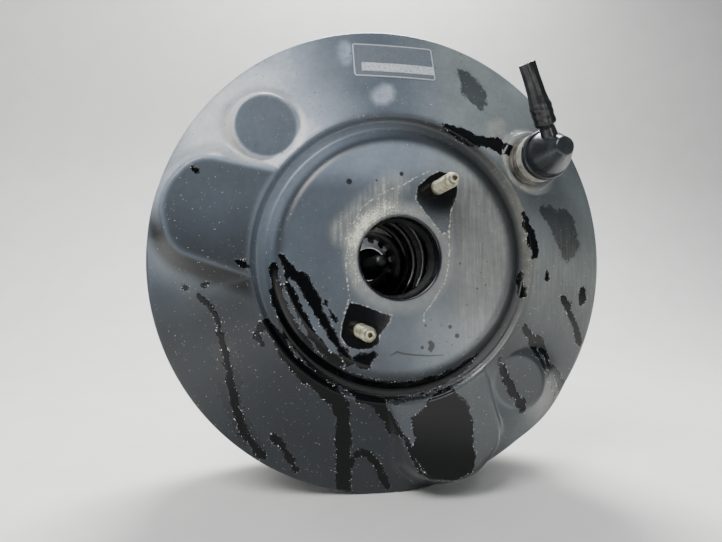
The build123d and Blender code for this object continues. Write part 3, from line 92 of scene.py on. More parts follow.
# %% [markdown]
# ## The camera
# The view is low, close and a little left of the booster's axis, through a short 27 mm lens on a
# 36 mm sensor. The axes are written out, because a look-at helper would lose the camera's roll.

# %% Place the camera
MM = 0.001
VIEW_WIDTH, FOCAL_PIXELS = 722, 550


def new_object(name, data):
    """An object that is in the scene."""
    item = bpy.data.objects.new(name, data)
    bpy.context.scene.collection.objects.link(item)
    return item


camera_data = bpy.data.cameras.new("booster_camera")
camera_data.sensor_width = 36.0
camera_data.lens = camera_data.sensor_width * FOCAL_PIXELS / VIEW_WIDTH
camera_data.clip_start = 0.01
camera = new_object("booster_camera", camera_data)
right = Vector((0.98481, -0.17359, -0.00455))
up = Vector((0, -0.02618, 0.99966))
back = right.cross(up).normalized()
up = back.cross(right).normalized()
turn = Matrix((right, up, back)).transposed().to_4x4()
camera.matrix_world = Matrix.Translation(Vector((-73.1, -291, -14.8)) * MM) @ turn
bpy.context.scene.camera = camera
print("camera looks along", [round(v, 3) for v in -back])

# %% [markdown]
# ## Small tools for finishes
# Colours are written as sRGB hex, and turned to the linear numbers that a shader wants. One
# function adds a shader node with its settings and links, so a finish reads like a recipe.

# %% Colours and shader nodes
def linear(hex_code):
    """An sRGB hex colour as linear red, green, blue and alpha."""
    parts = [int(hex_code[i : i + 2], 16) / 255 for i in (1, 3, 5)]
    line = [p / 12.92 if p <= 0.04045 else ((p + 0.055) / 1.055) ** 2.4 for p in parts]
    return (*line, 1)


def add_node(tree, kind, inputs=None, out=0, **settings):
    """Add a shader node, set its properties, set or link its inputs, and give one output."""
    item = tree.nodes.new("ShaderNode" + kind)
    for name, value in settings.items():
        setattr(item, name, value)
    for name, value in (inputs or {}).items():
        if isinstance(value, bpy.types.NodeSocket):
            tree.links.new(value, item.inputs[name])
        else:
            item.inputs[name].default_value = value
    return item.outputs[out] if item.outputs else item


# Settings that many nodes share
TIMES, TIMES_PLUS, GREATER = ({"operation": name} for name in ("MULTIPLY", "MULTIPLY_ADD", "MAXIMUM"))
COLOURS = {"out": 2, "data_type": "RGBA"}
SOFTLY = {"interpolation_type": "SMOOTHSTEP"}


def new_finish(name):
    """An empty material, what adds its nodes, and the place of a point in metres."""
    material = bpy.data.materials.new(name)
    material.use_nodes = True
    material.node_tree.nodes.clear()
    add = partial(add_node, material.node_tree)
    return material, add, add("TexCoord", out="Object")


def speckle(place, size_mm, detail=2):
    """Inputs for noise with grains of this size, as places are in metres."""
    return {"Vector": place, "Scale": 1 / (size_mm * MM), "Detail": detail}


def span(value, start, end, low=0, high=1):
    """Inputs for a range: value goes from low at start to high at end."""
    return {"Value": value, "From Min": start, "From Max": end, "To Min": low, "To Max": high}


def close(add, shader):
    """Link a finished shader to the material's output."""
    add("OutputMaterial", {"Surface": shader})


def dress(material, *node_names):
    """Give CAD nodes a finish."""
    for name in node_names:
        node = frame["nodes"][name]
        node.data.materials.clear()
        node.data.materials.append(material)


print("mid grey is linear", round(linear("#808080")[0], 3))

# %% [markdown]
# Most finishes here are two close tones in soft patches, with a finer grain that breaks up
# their shine. One recipe makes them all: rubber gets settled dust, steel gets fine marks.

# %% The two-tone recipe
def two_tone(name, tones, patch, share, rough, grain=None, bump=None, skin=None, stretch=None):
    """A finish from noise. patch and grain are a grain size in mm and a detail. share is where
    the second tone starts and is full, and its strength. rough is how far the grain moves the
    roughness, and its base; bump is its height in mm and strength. skin holds more inputs."""
    material, add, place = new_finish(name)
    if stretch:
        place = add("Mapping", {"Vector": place, "Scale": stretch})
    patches = add("TexNoise", speckle(place, *patch))
    fine = add("TexNoise", speckle(place, *grain)) if grain else patches
    mask = add("MapRange", span(patches, share[0], share[1], 0, share[2]))
    inputs = dict(skin or {})
    inputs["Base Color"] = add("Mix", {0: mask, 6: linear(tones[0]), 7: linear(tones[1])}, **COLOURS)
    inputs["Roughness"] = add("Math", {0: fine, 1: rough[0], 2: rough[1]}, **TIMES_PLUS)
    if bump:
        inputs["Normal"] = add("Bump", {"Height": fine, "Distance": bump[0] * MM, "Strength": bump[1]})
    close(add, add("BsdfPrincipled", inputs))
    return material


def rubber(name, clean, dust, share, base_rough, grain_mm):
    """Moulded rubber: a dull dark dielectric with settled dust and a fine mould grain."""
    return two_tone(name, (clean, dust), (6, 5), (*share, 1), (0.2, base_rough),
                    (grain_mm, 3), (0.12, 0.7), {"IOR": 1.52})


def steel(name, bright, dull, base_rough, mark_mm, bare=1, stretch=None):
    """Bare or plated steel with fine marks."""
    return two_tone(name, (bright, dull), (mark_mm, 4), (0.35, 0.70, 1), (0.25, base_rough),
                    bump=(0.03, 0.5), skin={"Metallic": bare}, stretch=stretch)


zinc = two_tone("zinc_plate_passivated", ("#bab79f", "#807e69"), (3, 4), (0.42, 0.68, 1),
                (0.25, 0.32), (0.7, 3), (0.05, 0.7), {"Metallic": 0.75})
print("finish:", zinc.name)

# %% [markdown]
# ## Profiles and turned grids
# A round pressed piece is a profile turned about an axis: a short list of (radius, depth) points,
# with its corners bent to a radius and cut into even steps. A grid turns it into clean quads.

# %% Bend a profile and turn a grid
def bent(points, radii, step):
    """A polyline with its inner corners rounded, cut into even steps."""
    points = [np.array(p, float) for p in points]
    path = [points[0]]
    for before, corner, after, radius in zip(points, points[1:], points[2:], radii):
        leave = (before - corner) / np.linalg.norm(before - corner)
        enter = (after - corner) / np.linalg.norm(after - corner)
        half = math.acos(np.clip(leave @ enter, -1, 1)) / 2
        reach = radius / math.tan(half)
        middle = corner + (leave + enter) / np.linalg.norm(leave + enter) * radius / math.sin(half)
        first, last = corner + leave * reach - middle, corner + enter * reach - middle
        sweep = math.pi - 2 * half
        for t in np.linspace(0, 1, 9):
            a = math.sin((1 - t) * sweep) / math.sin(sweep)
            b = math.sin(t * sweep) / math.sin(sweep)
            path.append(middle + a * first + b * last)
    path.append(points[-1])
    path = np.array(path)
    run = np.concatenate([[0], np.cumsum(np.linalg.norm(np.diff(path, axis=0), axis=1))])
    even = np.linspace(0, run[-1], int(run[-1] / step) + 1)
    return np.stack([np.interp(even, run, path[:, 0]), np.interp(even, run, path[:, 1])], axis=1)


def new_piece(name, points, faces):
    """A smooth mesh object from points in mm."""
    mesh = bpy.data.meshes.new(name)
    mesh.from_pydata((points * MM).tolist(), [], faces.tolist())
    mesh.shade_smooth()
    return new_object(name, mesh)


def quads(rings, spokes, closed):
    """Faces between rings of points, closed round the axis or left open."""
    low = np.arange(rings - 1)[:, None] * spokes
    this = np.arange(spokes if closed else spokes - 1)
    after, high = (this + 1) % spokes, low + spokes
    return np.stack([low + this, high + this, high + after, low + after], axis=-1).reshape(-1, 4)


def grid_mesh(name, x, y, z, closed=True):
    """A smooth mesh from rings of points in mm."""
    return new_piece(name, np.stack([x, y, z], axis=-1).reshape(-1, 3), quads(*x.shape, closed))


def turned_piece(name, path, spokes, centre=(0, 0), ripple=None):
    """A profile turned about Y through centre. ripple(radius, depth, turn) may move radii."""
    radius, depth = path[:, :1], path[:, 1:]
    turns = np.linspace(0, 2 * math.pi, spokes, endpoint=False)[None, :]
    if ripple:
        radius = ripple(radius, depth, turns)
    x, z = centre[0] + radius * np.cos(turns), centre[1] + radius * np.sin(turns)
    return grid_mesh(name, x, np.broadcast_to(depth, x.shape), z)


def store(piece, fields):
    """Keep fields on a mesh's points, where its finish can read them."""
    for name, field in fields.items():
        layer = piece.data.attributes.new(name, "FLOAT", "POINT")
        layer.data.foreach_set("value", field.astype(np.float32).ravel())


def fit(piece, body, slot, material, *nodes):
    """Hang a new piece on its body, in place of CAD nodes, with its finish."""
    if body:
        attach(piece, body)
    if nodes:
        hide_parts(*nodes)
    piece.data.materials.append(material)


# %% [markdown]
# ## The front shell's skin
# The real shell is one pressed sheet of 1.5 mm steel, whose pads and lobes flow into the cone. A
# dense polar grid copies that: its rings follow the turned profile, and rise or sink to each pad.
# At the skirt's end the profile turns back inside, to show the sheet's thickness.

# %% The shell's profile
SHEET = 1.5
MOUTH_RADIUS, MOUTH_ROUND, COLLAR_LENGTH = 22.2, 1.1, 9.0
FACE_RADIUS, FACE_ROUND = 64, 7.0
GROOVE_IN, GROOVE_OUT, GROOVE_DEPTH, GROOVE_BEND = 73, 77.5, 9.8, 2.6
CONE_TOP, CONE_TOP_DEPTH = 80.5, 7.0
RIM_RADIUS, RIM_DEPTH, RIM_ROUND = 138, 30.4, 1.8
SKIRT_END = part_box("front_shell")[1].y / MM
LAND_START, WALL_TOP = 75, 95.0  # where the land takes over, and how far the groove's wall runs on
CONE_SLOPE = (RIM_DEPTH - CONE_TOP_DEPTH) / (RIM_RADIUS - CONE_TOP)
GROOVE_WALL_SLOPE = (GROOVE_DEPTH - CONE_TOP_DEPTH) / (CONE_TOP - GROOVE_OUT)
lid = [
    (MOUTH_RADIUS + SHEET, COLLAR_LENGTH - 2), (MOUTH_RADIUS + SHEET, COLLAR_LENGTH),
    (MOUTH_RADIUS, COLLAR_LENGTH), (MOUTH_RADIUS, 0), (FACE_RADIUS, 0), (GROOVE_IN, GROOVE_DEPTH),
    (GROOVE_OUT, GROOVE_DEPTH), (CONE_TOP, CONE_TOP_DEPTH), (RIM_RADIUS, RIM_DEPTH),
    (RIM_RADIUS, SKIRT_END), (RIM_RADIUS - SHEET, SKIRT_END), (RIM_RADIUS - SHEET, RIM_DEPTH + 2 * SHEET),
]
bends = (0, 0.3, MOUTH_ROUND, FACE_ROUND, GROOVE_BEND, GROOVE_BEND, 2.2, RIM_ROUND, 0.3, 0.3)
profile = bent(lid, bends, 0.6)
groove_side = bent(
    [(FACE_RADIUS, 0), (GROOVE_IN, GROOVE_DEPTH), (GROOVE_OUT, GROOVE_DEPTH),
     (WALL_TOP, GROOVE_DEPTH - (WALL_TOP - GROOVE_OUT) * GROOVE_WALL_SLOPE)],
    (GROOVE_BEND, GROOVE_BEND),
    0.4,
)
print("rings in the shell's profile:", len(profile))

# %% [markdown]
# Each pad is a flat with a rounded edge and a wall, whose drop follows from the distance to the
# flat's outline. The cone's height over the flat is squeezed softly between the walls, so a pad can
# stand proud on one side and lie sunk on the other.

# %% Heights of the pads and lobes
def ease(low, high, value):
    """0 below low, 1 above high, and a smooth step between them."""
    t = np.clip((value - low) / (high - low), 0, 1)
    return t * t * (3 - 2 * t)


def smooth_max(a, b, width):
    """The greater of two depths, blended where they are closer than width."""
    share = np.clip(0.5 + 0.5 * (a - b) / width, 0, 1)
    return b * (1 - share) + a * share + width * share * (1 - share)


def nearest(x, z, start, end):
    """Where the nearest point of a straight is, as a share of its length, and how far away."""
    ax, az, ex, ez = *start, *np.subtract(end, start)
    t = np.clip(((x - ax) * ex + (z - az) * ez) / (ex * ex + ez * ez + 1e-12), 0, 1)
    return t, np.hypot(x - ax - t * ex, z - az - t * ez)


def outline_distance(x, z, outline):
    """Signed distance in mm from points to a closed outline: negative inside."""
    best = np.full(x.shape, 1e9)
    inside = np.zeros(x.shape, bool)
    for (ax, az), (bx, bz) in zip(outline, np.roll(outline, -1, axis=0)):
        best = np.minimum(best, nearest(x, z, (ax, az), (bx, bz))[1])
        crosses = (az > z) != (bz > z)
        inside ^= crosses & (x < (bx - ax) * (z - az) / (bz - az + 1e-12) + ax)
    return np.where(inside, -best, best)


def wall(distance, slope, edge):
    """Drop of a pad's edge in mm: flat, then a round of radius edge, then a straight wall."""
    end = edge * np.sin(np.arctan(slope))
    inner = np.clip(distance, 0, end)
    arc = edge - np.sqrt(np.maximum(edge**2 - inner**2, 0))
    return arc + np.maximum(distance - end, 0) * slope


def squeezed(height, room, crispness):
    """A height kept softly within plus or minus room."""
    return height / (1 + (np.abs(height) / (room + 1e-6)) ** crispness) ** (1 / crispness)


def about(x, z, degrees_):
    """Points turned so that the direction at this angle becomes +X."""
    c, s = math.cos(math.radians(degrees_)), math.sin(math.radians(degrees_))
    return x * c + z * s, z * c - x * s


LEFT_LOBE_ANGLE, BOTTOM_LOBE_ANGLE, LOBE_DEPTH, LOBE_EDGE = 165.5, -72.5, 6.8, 3.2
SWELLING_ANGLE = -147.0
lobe_flat = bent(
    [(40, 0), (40, -31), (118, -25), (131, 0), (118, 25), (40, 31), (40, 0)],
    (14, 17, 25, 17, 14),
    1.5,
)
# centre's radius and angle, flat's radius, depth, wall's slope and edge round
ROUND_PADS = {
    "upper_left": (102, 135, 16.6, 9.6, 2.6, 1.6),
    "lower_right": (102, -44.5, 14.6, 9.6, 0.9, 4),
    "valve": (100, 35.1, 15.4, 9.1, 2.4, 3),
}


def polar(radius, angle):
    """A point in mm from its radius and its angle in degrees."""
    return radius * math.cos(math.radians(angle)), radius * math.sin(math.radians(angle))


def left_lobe_slope(along, side):
    """The left lobe's lower side leans out in a long wedge, and its tip is steep."""
    low = ease(-2, 24, side)
    steep_side = 1.35 + 1.15 * ease(105, 125, along)
    wedge_side = 0.70 + 0.60 * ease(100, 126, along)
    return steep_side * (1 - low) + wedge_side * low


def bottom_lobe_slope(along, side):
    """The bottom lobe's sides are even, and its tip is steep."""
    return 1.7 + 0.9 * ease(108, 126, along)


def lobe_distance(x, z, angle):
    """How far points are along a lobe and to its side, and from its flat's outline."""
    along, side = about(x, z, angle)
    return along, side, np.where(along > 0, outline_distance(along, side, lobe_flat), 99)


def land_depth(x, z):
    """Depth of the cone with its lobes and pads, without the groove."""
    radius = np.hypot(x, z)
    land = CONE_TOP_DEPTH + (radius - CONE_TOP) * CONE_SLOPE
    for angle, slope_at in ((LEFT_LOBE_ANGLE, left_lobe_slope), (BOTTOM_LOBE_ANGLE, bottom_lobe_slope)):
        along, side, far = lobe_distance(x, z, angle)
        room = wall(far, slope_at(along, side), LOBE_EDGE)
        land = LOBE_DEPTH + squeezed(land - LOBE_DEPTH, room, 6)
    for pitch, angle, flat, top, slope, edge in ROUND_PADS.values():
        px, pz = polar(pitch, angle)
        room = wall(np.hypot(x - px, z - pz) - flat, slope, edge)
        land = top + squeezed(land - top, room, 5)
    return land


def face_swelling(x, z, depth):
    """A crescent that swells out of the face's side wall, from a sharp start to a slow end."""
    angle = (np.degrees(np.arctan2(z, x)) - SWELLING_ANGLE + 180) % 360 - 180
    sx, sz = polar(4.6, SWELLING_ANGLE)
    ridge = 2.6 + wall(np.hypot(x - sx, z - sz) - 60.5, 1.3, 4.5)
    share = ease(-41, -38.5, angle) * (1 - ease(20, 46, angle))
    raised = -smooth_max(-depth, -ridge, 1.5)
    return depth * (1 - share) + raised * share


# %% [markdown]
# With 720 spokes, two neighbours are under 1.3 mm apart even at the rim. Rings on the lid are
# given new depths: the land outside the groove's floor, and the face inside it.

# %% Build the skin
SPOKES = 720
turns = np.linspace(0, 2 * math.pi, SPOKES, endpoint=False)
ring_r, ring_y = profile[:, 0], profile[:, 1]
skin_x = ring_r[:, None] * np.cos(turns)[None, :]
skin_z = ring_r[:, None] * np.sin(turns)[None, :]
skin_y = np.repeat(ring_y[:, None], SPOKES, axis=1)
on_face = (ring_r > MOUTH_RADIUS + 2 * MOUTH_ROUND) & (ring_r <= LAND_START)
on_land = (ring_r > LAND_START) & (ring_r < RIM_RADIUS - RIM_ROUND) & (ring_y < RIM_DEPTH)
skin_y[on_face] = face_swelling(skin_x[on_face], skin_z[on_face], skin_y[on_face])
groove_here = np.interp(ring_r[on_land], groove_side[:, 0], groove_side[:, 1])[:, None]
land_here = land_depth(skin_x[on_land], skin_z[on_land])
skin_y[on_land] = smooth_max(land_here, groove_here, 1.2)
shell_skin = grid_mesh("front_shell_skin", skin_x, skin_y, skin_z)
print("skin points:", len(shell_skin.data.vertices))

# %% [markdown]
# ## Marks on the paint
# A thin film of dust dulls the black enamel. Water has washed it off in runs that shine near black,
# and two ear-shaped patches under the master cylinder's flange stayed clean. Each point of the mesh
# keeps its distance in mm to them and to the flange's outline, and the shader cuts those distances
# with a fine noise, for crisp, ragged edges. A run is a list of (x, z, half width) in mm.

# %% Distances to runs and outlines
def run_distance(x, z, path):
    """Signed distance to a run: its half width changes evenly along each straight."""
    best = np.full(x.shape, 99.0)
    for (*start, near_half), (*end, far_half) in zip(path, path[1:]):
        t, away = nearest(x, z, start, end)
        best = np.minimum(best, away - near_half - (far_half - near_half) * t)
    return best


WET_RUNS = (
    # left of the cone
    [(-108, -20, 2), (-104, -24, 2.5), (-98, -32, 0.9), (-96, -43, 1.6), (-92, -62, 1.9),
     (-88, -84, 2.5), (-85, -96, 2.5), (-77, -108, 2.5), (-73, -112, 2.2)],
    [(-67, -100, 3), (-63, -105, 1.9), (-55, -120, 2)],
    # bottom
    [(-74, -46, 1.6), (-77, -42, 1.9), (-75, -37, 1.8), (-72, -35, 2.1), (-68, -38, 2.7),
     (-65, -45, 3.2), (-59, -55, 3.9), (-49, -64, 4.5), (-39, -72, 4.8), (-32, -80, 4.6), (-30, -90, 4),
     (-29, -114, 4.2), (-27, -134, 4.4)],
    [(-26, -120, 2.3), (-23, -113, 2.3), (-19, -109, 2.3), (-13, -112, 2.3), (-8, -120, 2.4),
     (-2, -133, 2.4)],
    [(-25, -71, 4), (-19, -76, 3.7), (-11, -80, 3.4), (-6, -88, 2.9), (-2, -95, 2.9)],
    [(-1, -95, 1.1), (5, -101, 1.1), (8, -110, 1.2), (13, -119, 1.4), (19, -124, 1.5)],
    # groove and plateau
    [(-68, -5, 2.2), (-66, -22, 3.4), (-59, -39, 4.4), (-48, -54, 5), (-35, -64, 5.4),
     (-21, -70, 5.4), (0, -73, 5.2), (20, -70, 4.4), (36, -63, 3), (47, -55, 1.2)],
    [(-65, 1, 1), (-57, -10, 3.1), (-52, -13, 3.9), (-49, -20, 4.2), (-45, -26, 3.2),
     (-43, -32, 2.4), (-33, -48, 2.4), (-28, -56, 2.4)],
    [(-62, -3, 1.3), (-61, -14, 1.6), (-56, -25, 2.4), (-48, -41, 2.1), (-41, -50, 2.4),
     (-34, -56, 2.4)],
    [(-41, -24, 0.8), (-37, -31, 0.6), (-35, -34, 0.5)],
    # right of the cone
    [(76, 26, 0.8), (78, 22, 2), (82, 10, 3.4), (83, 2, 2.4)],
    [(74, -10, 2.5), (74, -14, 2.8), (75, -20, 2.3)],
    [(92, -7, 1.6), (93, -12, 2.1)],
    [(124, -19, 2.3), (124, -25, 3.4)],
    [(106, -23, 2.1), (111, -28, 3), (115, -36, 2.2), (119, -42, 2.2), (123, -51, 3)],
    [(77, -40, 1.9), (82, -46, 2.3), (85, -54, 2), (90, -62, 1.6), (93, -71, 1.2)],
    [(87, -47, 2.4), (91, -51, 2.8), (95, -61, 2.4), (98, -71, 2.9), (104, -82, 2.5)],
    [(100, -66, 2.1), (105, -71, 2.5), (109, -78, 3.4)],
    [(61, -58, 1.2), (63, -63, 2), (65, -70, 2.3), (69, -76, 2.4), (74, -84, 2.8),
     (76, -89, 2.1)],
    # drops and top
    [(-88, -2, 0.8), (-85, -3, 2.1), (-81, -5, 0.8)],
    [(-116, -16, 1.7), (-115, -16, 1.7)],
    [(-105, -14, 1.6), (-104, -14, 1.6)],
    [(29, 76, 1.6), (37, 73, 3.3), (45, 69, 3.8), (54, 68, 3.4), (62, 67, 4.6),
     (69, 63, 3.4)],
    [(-111, 47, 1), (-108, 46, 1.3)],
)
LOBE_POOL = [(7, -88), (16, -82), (20, -76), (30, -73), (39, -81), (43, -91), (44, -108), (44, -121),
    (34, -125), (19, -124), (12, -116), (7, -107), (9, -99)]
DAMP_RUNS = (
    [(-100, -47, 2.2), (-94, -50, 6.5), (-93, -64, 7), (-91, -78, 5.5), (-86, -93, 5),
     (-76, -107, 4.5)],
    [(-30, -73, 0.8), (0, -79.5, 1), (27, -74.5, 1), (50, -61.5, 0.6)],
    [(93, 29, 4), (107, 21, 11), (111, 12, 10), (110, 5, 6)],
    [(44, 116, 1.8), (47, 111, 5), (50, 104, 7.6), (53, 98, 7), (54, 93, 3.4)],
)
STUD_EARS = (
    [(10, 39), (14, 43), (18, 46), (22, 48), (28, 47), (33, 42), (33, 38), (32, 33), (29, 26), (28, 15),
     (24, 13), (19, 19), (14, 25), (9, 32)],
    [(-28, -24), (-23, -25), (-17, -27), (-10, -30), (-5, -31), (-6, -35), (-12, -42), (-12, -46),
     (-17, -49), (-25, -49), (-30, -47), (-33, -42), (-32, -35), (-30, -29)],
)
FLANGE = (
    [(-31, -30), (-28, -21), (-29, -15), (-30, -4), (-29, 7), (-27, 16), (-22, 26), (-15, 32),
     (-6, 37), (2, 40), (10, 45), (17, 48)],
    [(33, 40), (31, 33), (29, 26), (28, 15), (28, 4), (27, -6), (25, -14), (21, -20), (17, -26),
     (13, -31), (13, -35)],
)
SCRATCH = [(-6, -53, 0.3), (-4, -52, 0.4), (-2, -51, 0.5), (1, -52, 0.5), (8, -53, 0.45),
    (16, -53.6, 0.35), (24, -53.4, 0.25)]
SPLASHES = [(28, -38, 1.1), (32, -43, 1.3), (12, -49, 1), (34, -3, 0.6), (44, -17, 0.6), (46, -8, 0.4),
    (49, -15, 0.5), (38, -26, 0.4), (50, -2, 0.4), (29, -48, 0.4), (14, -37, 0.7), (17, -34, 0.4),
    (23, -37, 0.4), (39, -44, 0.4), (44, -45, 0.5), (26, -46, 0.4), (-28, 41, 1.6), (1, 46, 1.2),
    (-13, 42, 0.6), (22, -47, 0.3)]
BLOT = [(15, -46), (17, -45), (19, -47), (19, -49), (17, -52), (15, -50), (16, -48)]
FOOT = [(-27, -53), (-23, -51), (-15, -50), (-13, -52), (-17, -59), (-23, -60), (-26, -56)]
LIP_BAND = 1.4  # the dark ring that the master cylinder's seal left round the mouth
skin = (skin_x, skin_z)
wet = np.minimum.reduce([outline_distance(*skin, pool) for pool in (LOBE_POOL, FOOT)]
                        + [run_distance(*skin, path) for path in WET_RUNS])
damp = np.minimum.reduce([run_distance(*skin, path) for path in DAMP_RUNS]
                         + [(np.hypot(*skin) - MOUTH_RADIUS - LIP_BAND) * 4])
ears = np.minimum(*[outline_distance(*skin, outline) for outline in STUD_EARS])
crust = np.minimum.reduce([np.abs(ears)] + [
    run_distance(*skin, [(x, z, 0) for x, z in line]) for line in FLANGE])
scratch = np.minimum(run_distance(*skin, SCRATCH), outline_distance(*skin, BLOT))
for spot_x, spot_z, spot in SPLASHES:
    scratch = np.minimum(scratch, np.hypot(skin_x - spot_x, skin_z - spot_z) - spot)
print("wet points:", int((wet < 0).sum()), "of", wet.size)

# %% [markdown]
# More fields say how strong something is, from 0 to 1. One field holds how thick the grey film lies, with
# painted light in it: it is high and pale on the upper-left cone, partly dust and partly a painted
# highlight, lighter on the plateau's right and low right, and thin and darker low down. Under the left
# lobe it is taken off, as painted shade.

# %% Film thickness, painted light and dust
radius = np.hypot(*skin)
angle = np.degrees(np.arctan2(skin_z, skin_x))


def near_angle(middle, spread):
    """1 at an angle, falling softly to 0 at spread degrees to either side."""
    off = np.abs((angle - middle + 180) % 360 - 180)
    return 1 - ease(0, spread, off)


def toward(field, value, share):
    """A field moved towards a value where share is 1."""
    return field * (1 - share) + value * share


PALE_PATCHES = (
    [(-29, 130), (-25, 131), (-21, 127), (-21, 118), (-24, 112), (-28, 112), (-31, 118), (-31, 126)],
    [(-11, 98), (-6, 102), (0, 101), (2, 96), (0, 90), (-5, 86), (-11, 86), (-14, 90), (-14, 95)],
)
on_cone = ease(79, 84, radius)
on_plateau = 1 - ease(60, 66, radius)
film_and_painted_light = np.full(skin_x.shape, 0.07)
in_groove = ease(66, 70, radius) * (1 - ease(79, 81, radius))
low_right = ease(20, 40, -skin_z) * ease(0, 20, skin_x)
# Painted highlight: the upper-left cone's high value is partly dust and partly stands in for the high
# light's reflection.
for value, share in (
    (0.03 + 0.72 * near_angle(141, 60), on_cone),
    (0.44, on_cone * near_angle(62, 48)),
    (0.24, on_cone * near_angle(5, 50)),
    (0.22, on_cone * near_angle(-54, 14)),
    (0.16, on_plateau),
    (0.14, on_plateau * ease(5, 35, skin_x)),
    (0.42, on_plateau * ease(35, 52, skin_z)),
    (0.30, on_plateau * low_right),
    (0.03 + 0.28 * near_angle(140, 80), in_groove),
):
    film_and_painted_light = toward(film_and_painted_light, value, share)
for lobe_angle, value in (
    (LEFT_LOBE_ANGLE, 0.05 + 0.10 * ease(-5, 45, skin_z)),
    (BOTTOM_LOBE_ANGLE, 0.10),
):
    far = lobe_distance(*skin, lobe_angle)[2]
    film_and_painted_light = toward(film_and_painted_light, value, (1 - ease(-2, 3, far)) * on_cone)
# Painted shade: the film is taken off the left lobe's lower wall, so the wall below the lobe is painted
# dark.
_, side, far = lobe_distance(*skin, LEFT_LOBE_ANGLE)
painted_shade_under_lobe = ease(0.5, 3, far) * (1 - ease(8, 15, far)) * ease(0, 20, side)
film_and_painted_light = toward(film_and_painted_light, 0, painted_shade_under_lobe * on_cone)
film_and_painted_light = toward(film_and_painted_light, 0, 1 - ease(23.2, 24, radius))
for pad_name, value in (("upper_left", 0.22), ("lower_right", 0.07)):
    pitch, pad_angle, flat = ROUND_PADS[pad_name][:3]
    px, pz = polar(pitch, pad_angle)
    away = np.hypot(skin_x - px, skin_z - pz) - flat
    film_and_painted_light = toward(film_and_painted_light, 0.92, (1 - ease(0, 4, np.abs(away - 3.5))) * on_cone * (skin_z > 0))
    film_and_painted_light = toward(film_and_painted_light, value, 1 - ease(-1, 1, away))
for patch in PALE_PATCHES:
    film_and_painted_light = toward(film_and_painted_light, 0.54, 1 - ease(-3, 1.5, outline_distance(*skin, patch)))
bare = 1 - 0.8 * ease(10, 24, np.hypot(skin_x - 22, skin_z - 41)) * (skin_z > 12)
mouth_ring = (1 - ease(27, 33.5, radius)) * ease(23.6, 24.4, radius)
mouth_ring = mouth_ring * (0.35 + 0.55 * near_angle(150, 150))
risers = 0.55 * (1 - ease(4, 12, run_distance(*skin, [(-30, 14, 0), (-4, 39, 0)])))
streaks = 0.30 * on_plateau * ease(22, 40, skin_x)
groove_crust = 0.55 * np.exp(-(((radius - 79) / 2.5) ** 2)) * near_angle(10, 55)
valve_x, valve_z = polar(*ROUND_PADS["valve"][:2])
valve_crust = 0.7 * np.exp(-(((np.hypot(skin_x - valve_x, skin_z - valve_z) - 16) / 2) ** 2))
valve_crust = valve_crust * ease(-6, 8, -(skin_x - valve_x) * 0.8 - (skin_z - valve_z) * 0.2)
SPECKLES = [(60, 79), (67, 82), (67, 71), (63, 63), (59, 70)]
speckle_run = 0.6 * (1 - ease(0, 6, outline_distance(*skin, SPECKLES)))
right_grit = 0.28 * on_cone * near_angle(-5, 26)
dust = np.maximum.reduce([mouth_ring, groove_crust, valve_crust, speckle_run])
streaky = np.maximum.reduce([risers, streaks, right_grit])
EDGES = {"wet": wet, "damp": damp, "ears": ears, "crust": crust, "scratch": scratch}
STRENGTHS = {"film_and_painted_light": film_and_painted_light, "dust": dust, "streaky": streaky, "bare": bare}
store(shell_skin, {name: np.clip(field, -9, 9) for name, field in EDGES.items()})
store(shell_skin, {name: np.clip(field, 0, 1) for name, field in STRENGTHS.items()})
print("mean haze:", round(float(film_and_painted_light.mean()), 3), "mean dust:", round(float(dust.mean()), 3))

# %% [markdown]
# ## Black enamel under a dusty film
# The shell is stove-enamelled steel, a glossy black dielectric with an IOR near 1.5. A pale powder
# film lifts the black to a bluish grey and spreads its highlights. Where it was washed off, the black
# is deep and wet, with a raised edge that catches the light; pale glints are painted along that edge.

# %% Where the film is broken
dusty_enamel, add, place = new_finish("dusty_black_enamel")
fields = {name: add("Attribute", out="Fac", attribute_name=name) for name in (*EDGES, *STRENGTHS)}
NOISES = {  # grain size in mm and detail
    "lumps": (5, 3), "teeth": (1.1, 2), "clouds": (26, 4), "powder": (3, 4),
    "patchy": (4.5, 3), "specks": (0.7, 0), "broken": (1.6, 2), "pores": (1.7, 1),
    "glint_dots": (0.9, 1), "fine": (1.4, 3), "peel": (9, 2), "tooth": (0.8, 3),
}
noise = {name: add("TexNoise", speckle(place, *grain)) for name, grain in NOISES.items()}
fray = add("Math", {0: noise["lumps"], 1: 6, 2: -4.1}, **TIMES_PLUS)
fray = add("Math", {0: noise["teeth"], 1: 2.2, 2: fray}, **TIMES_PLUS)
wet_edge = add("Math", {0: fields["wet"], 1: fray}, operation="ADD")
wet_mask = add("MapRange", span(wet_edge, 0.28, -0.28), **SOFTLY)
wet_bead = add("MapRange", span(wet_edge, 0.9, -0.9), **SOFTLY)
ear_edge = add("Math", {0: fray, 1: 0.35, 2: fields["ears"]}, **TIMES_PLUS)
ear_mask = add("MapRange", span(ear_edge, 0.3, -0.3))
damp_edge = add("Math", {0: fray, 1: 1.5, 2: fields["damp"]}, **TIMES_PLUS)
damp_mask = add("MapRange", span(damp_edge, 1.6, -1.6, 0, 0.75), **SOFTLY)
scratch_mask = add("MapRange", span(fields["scratch"], 0.25, -0.25))
print("edges ready:", len(dusty_enamel.node_tree.nodes))

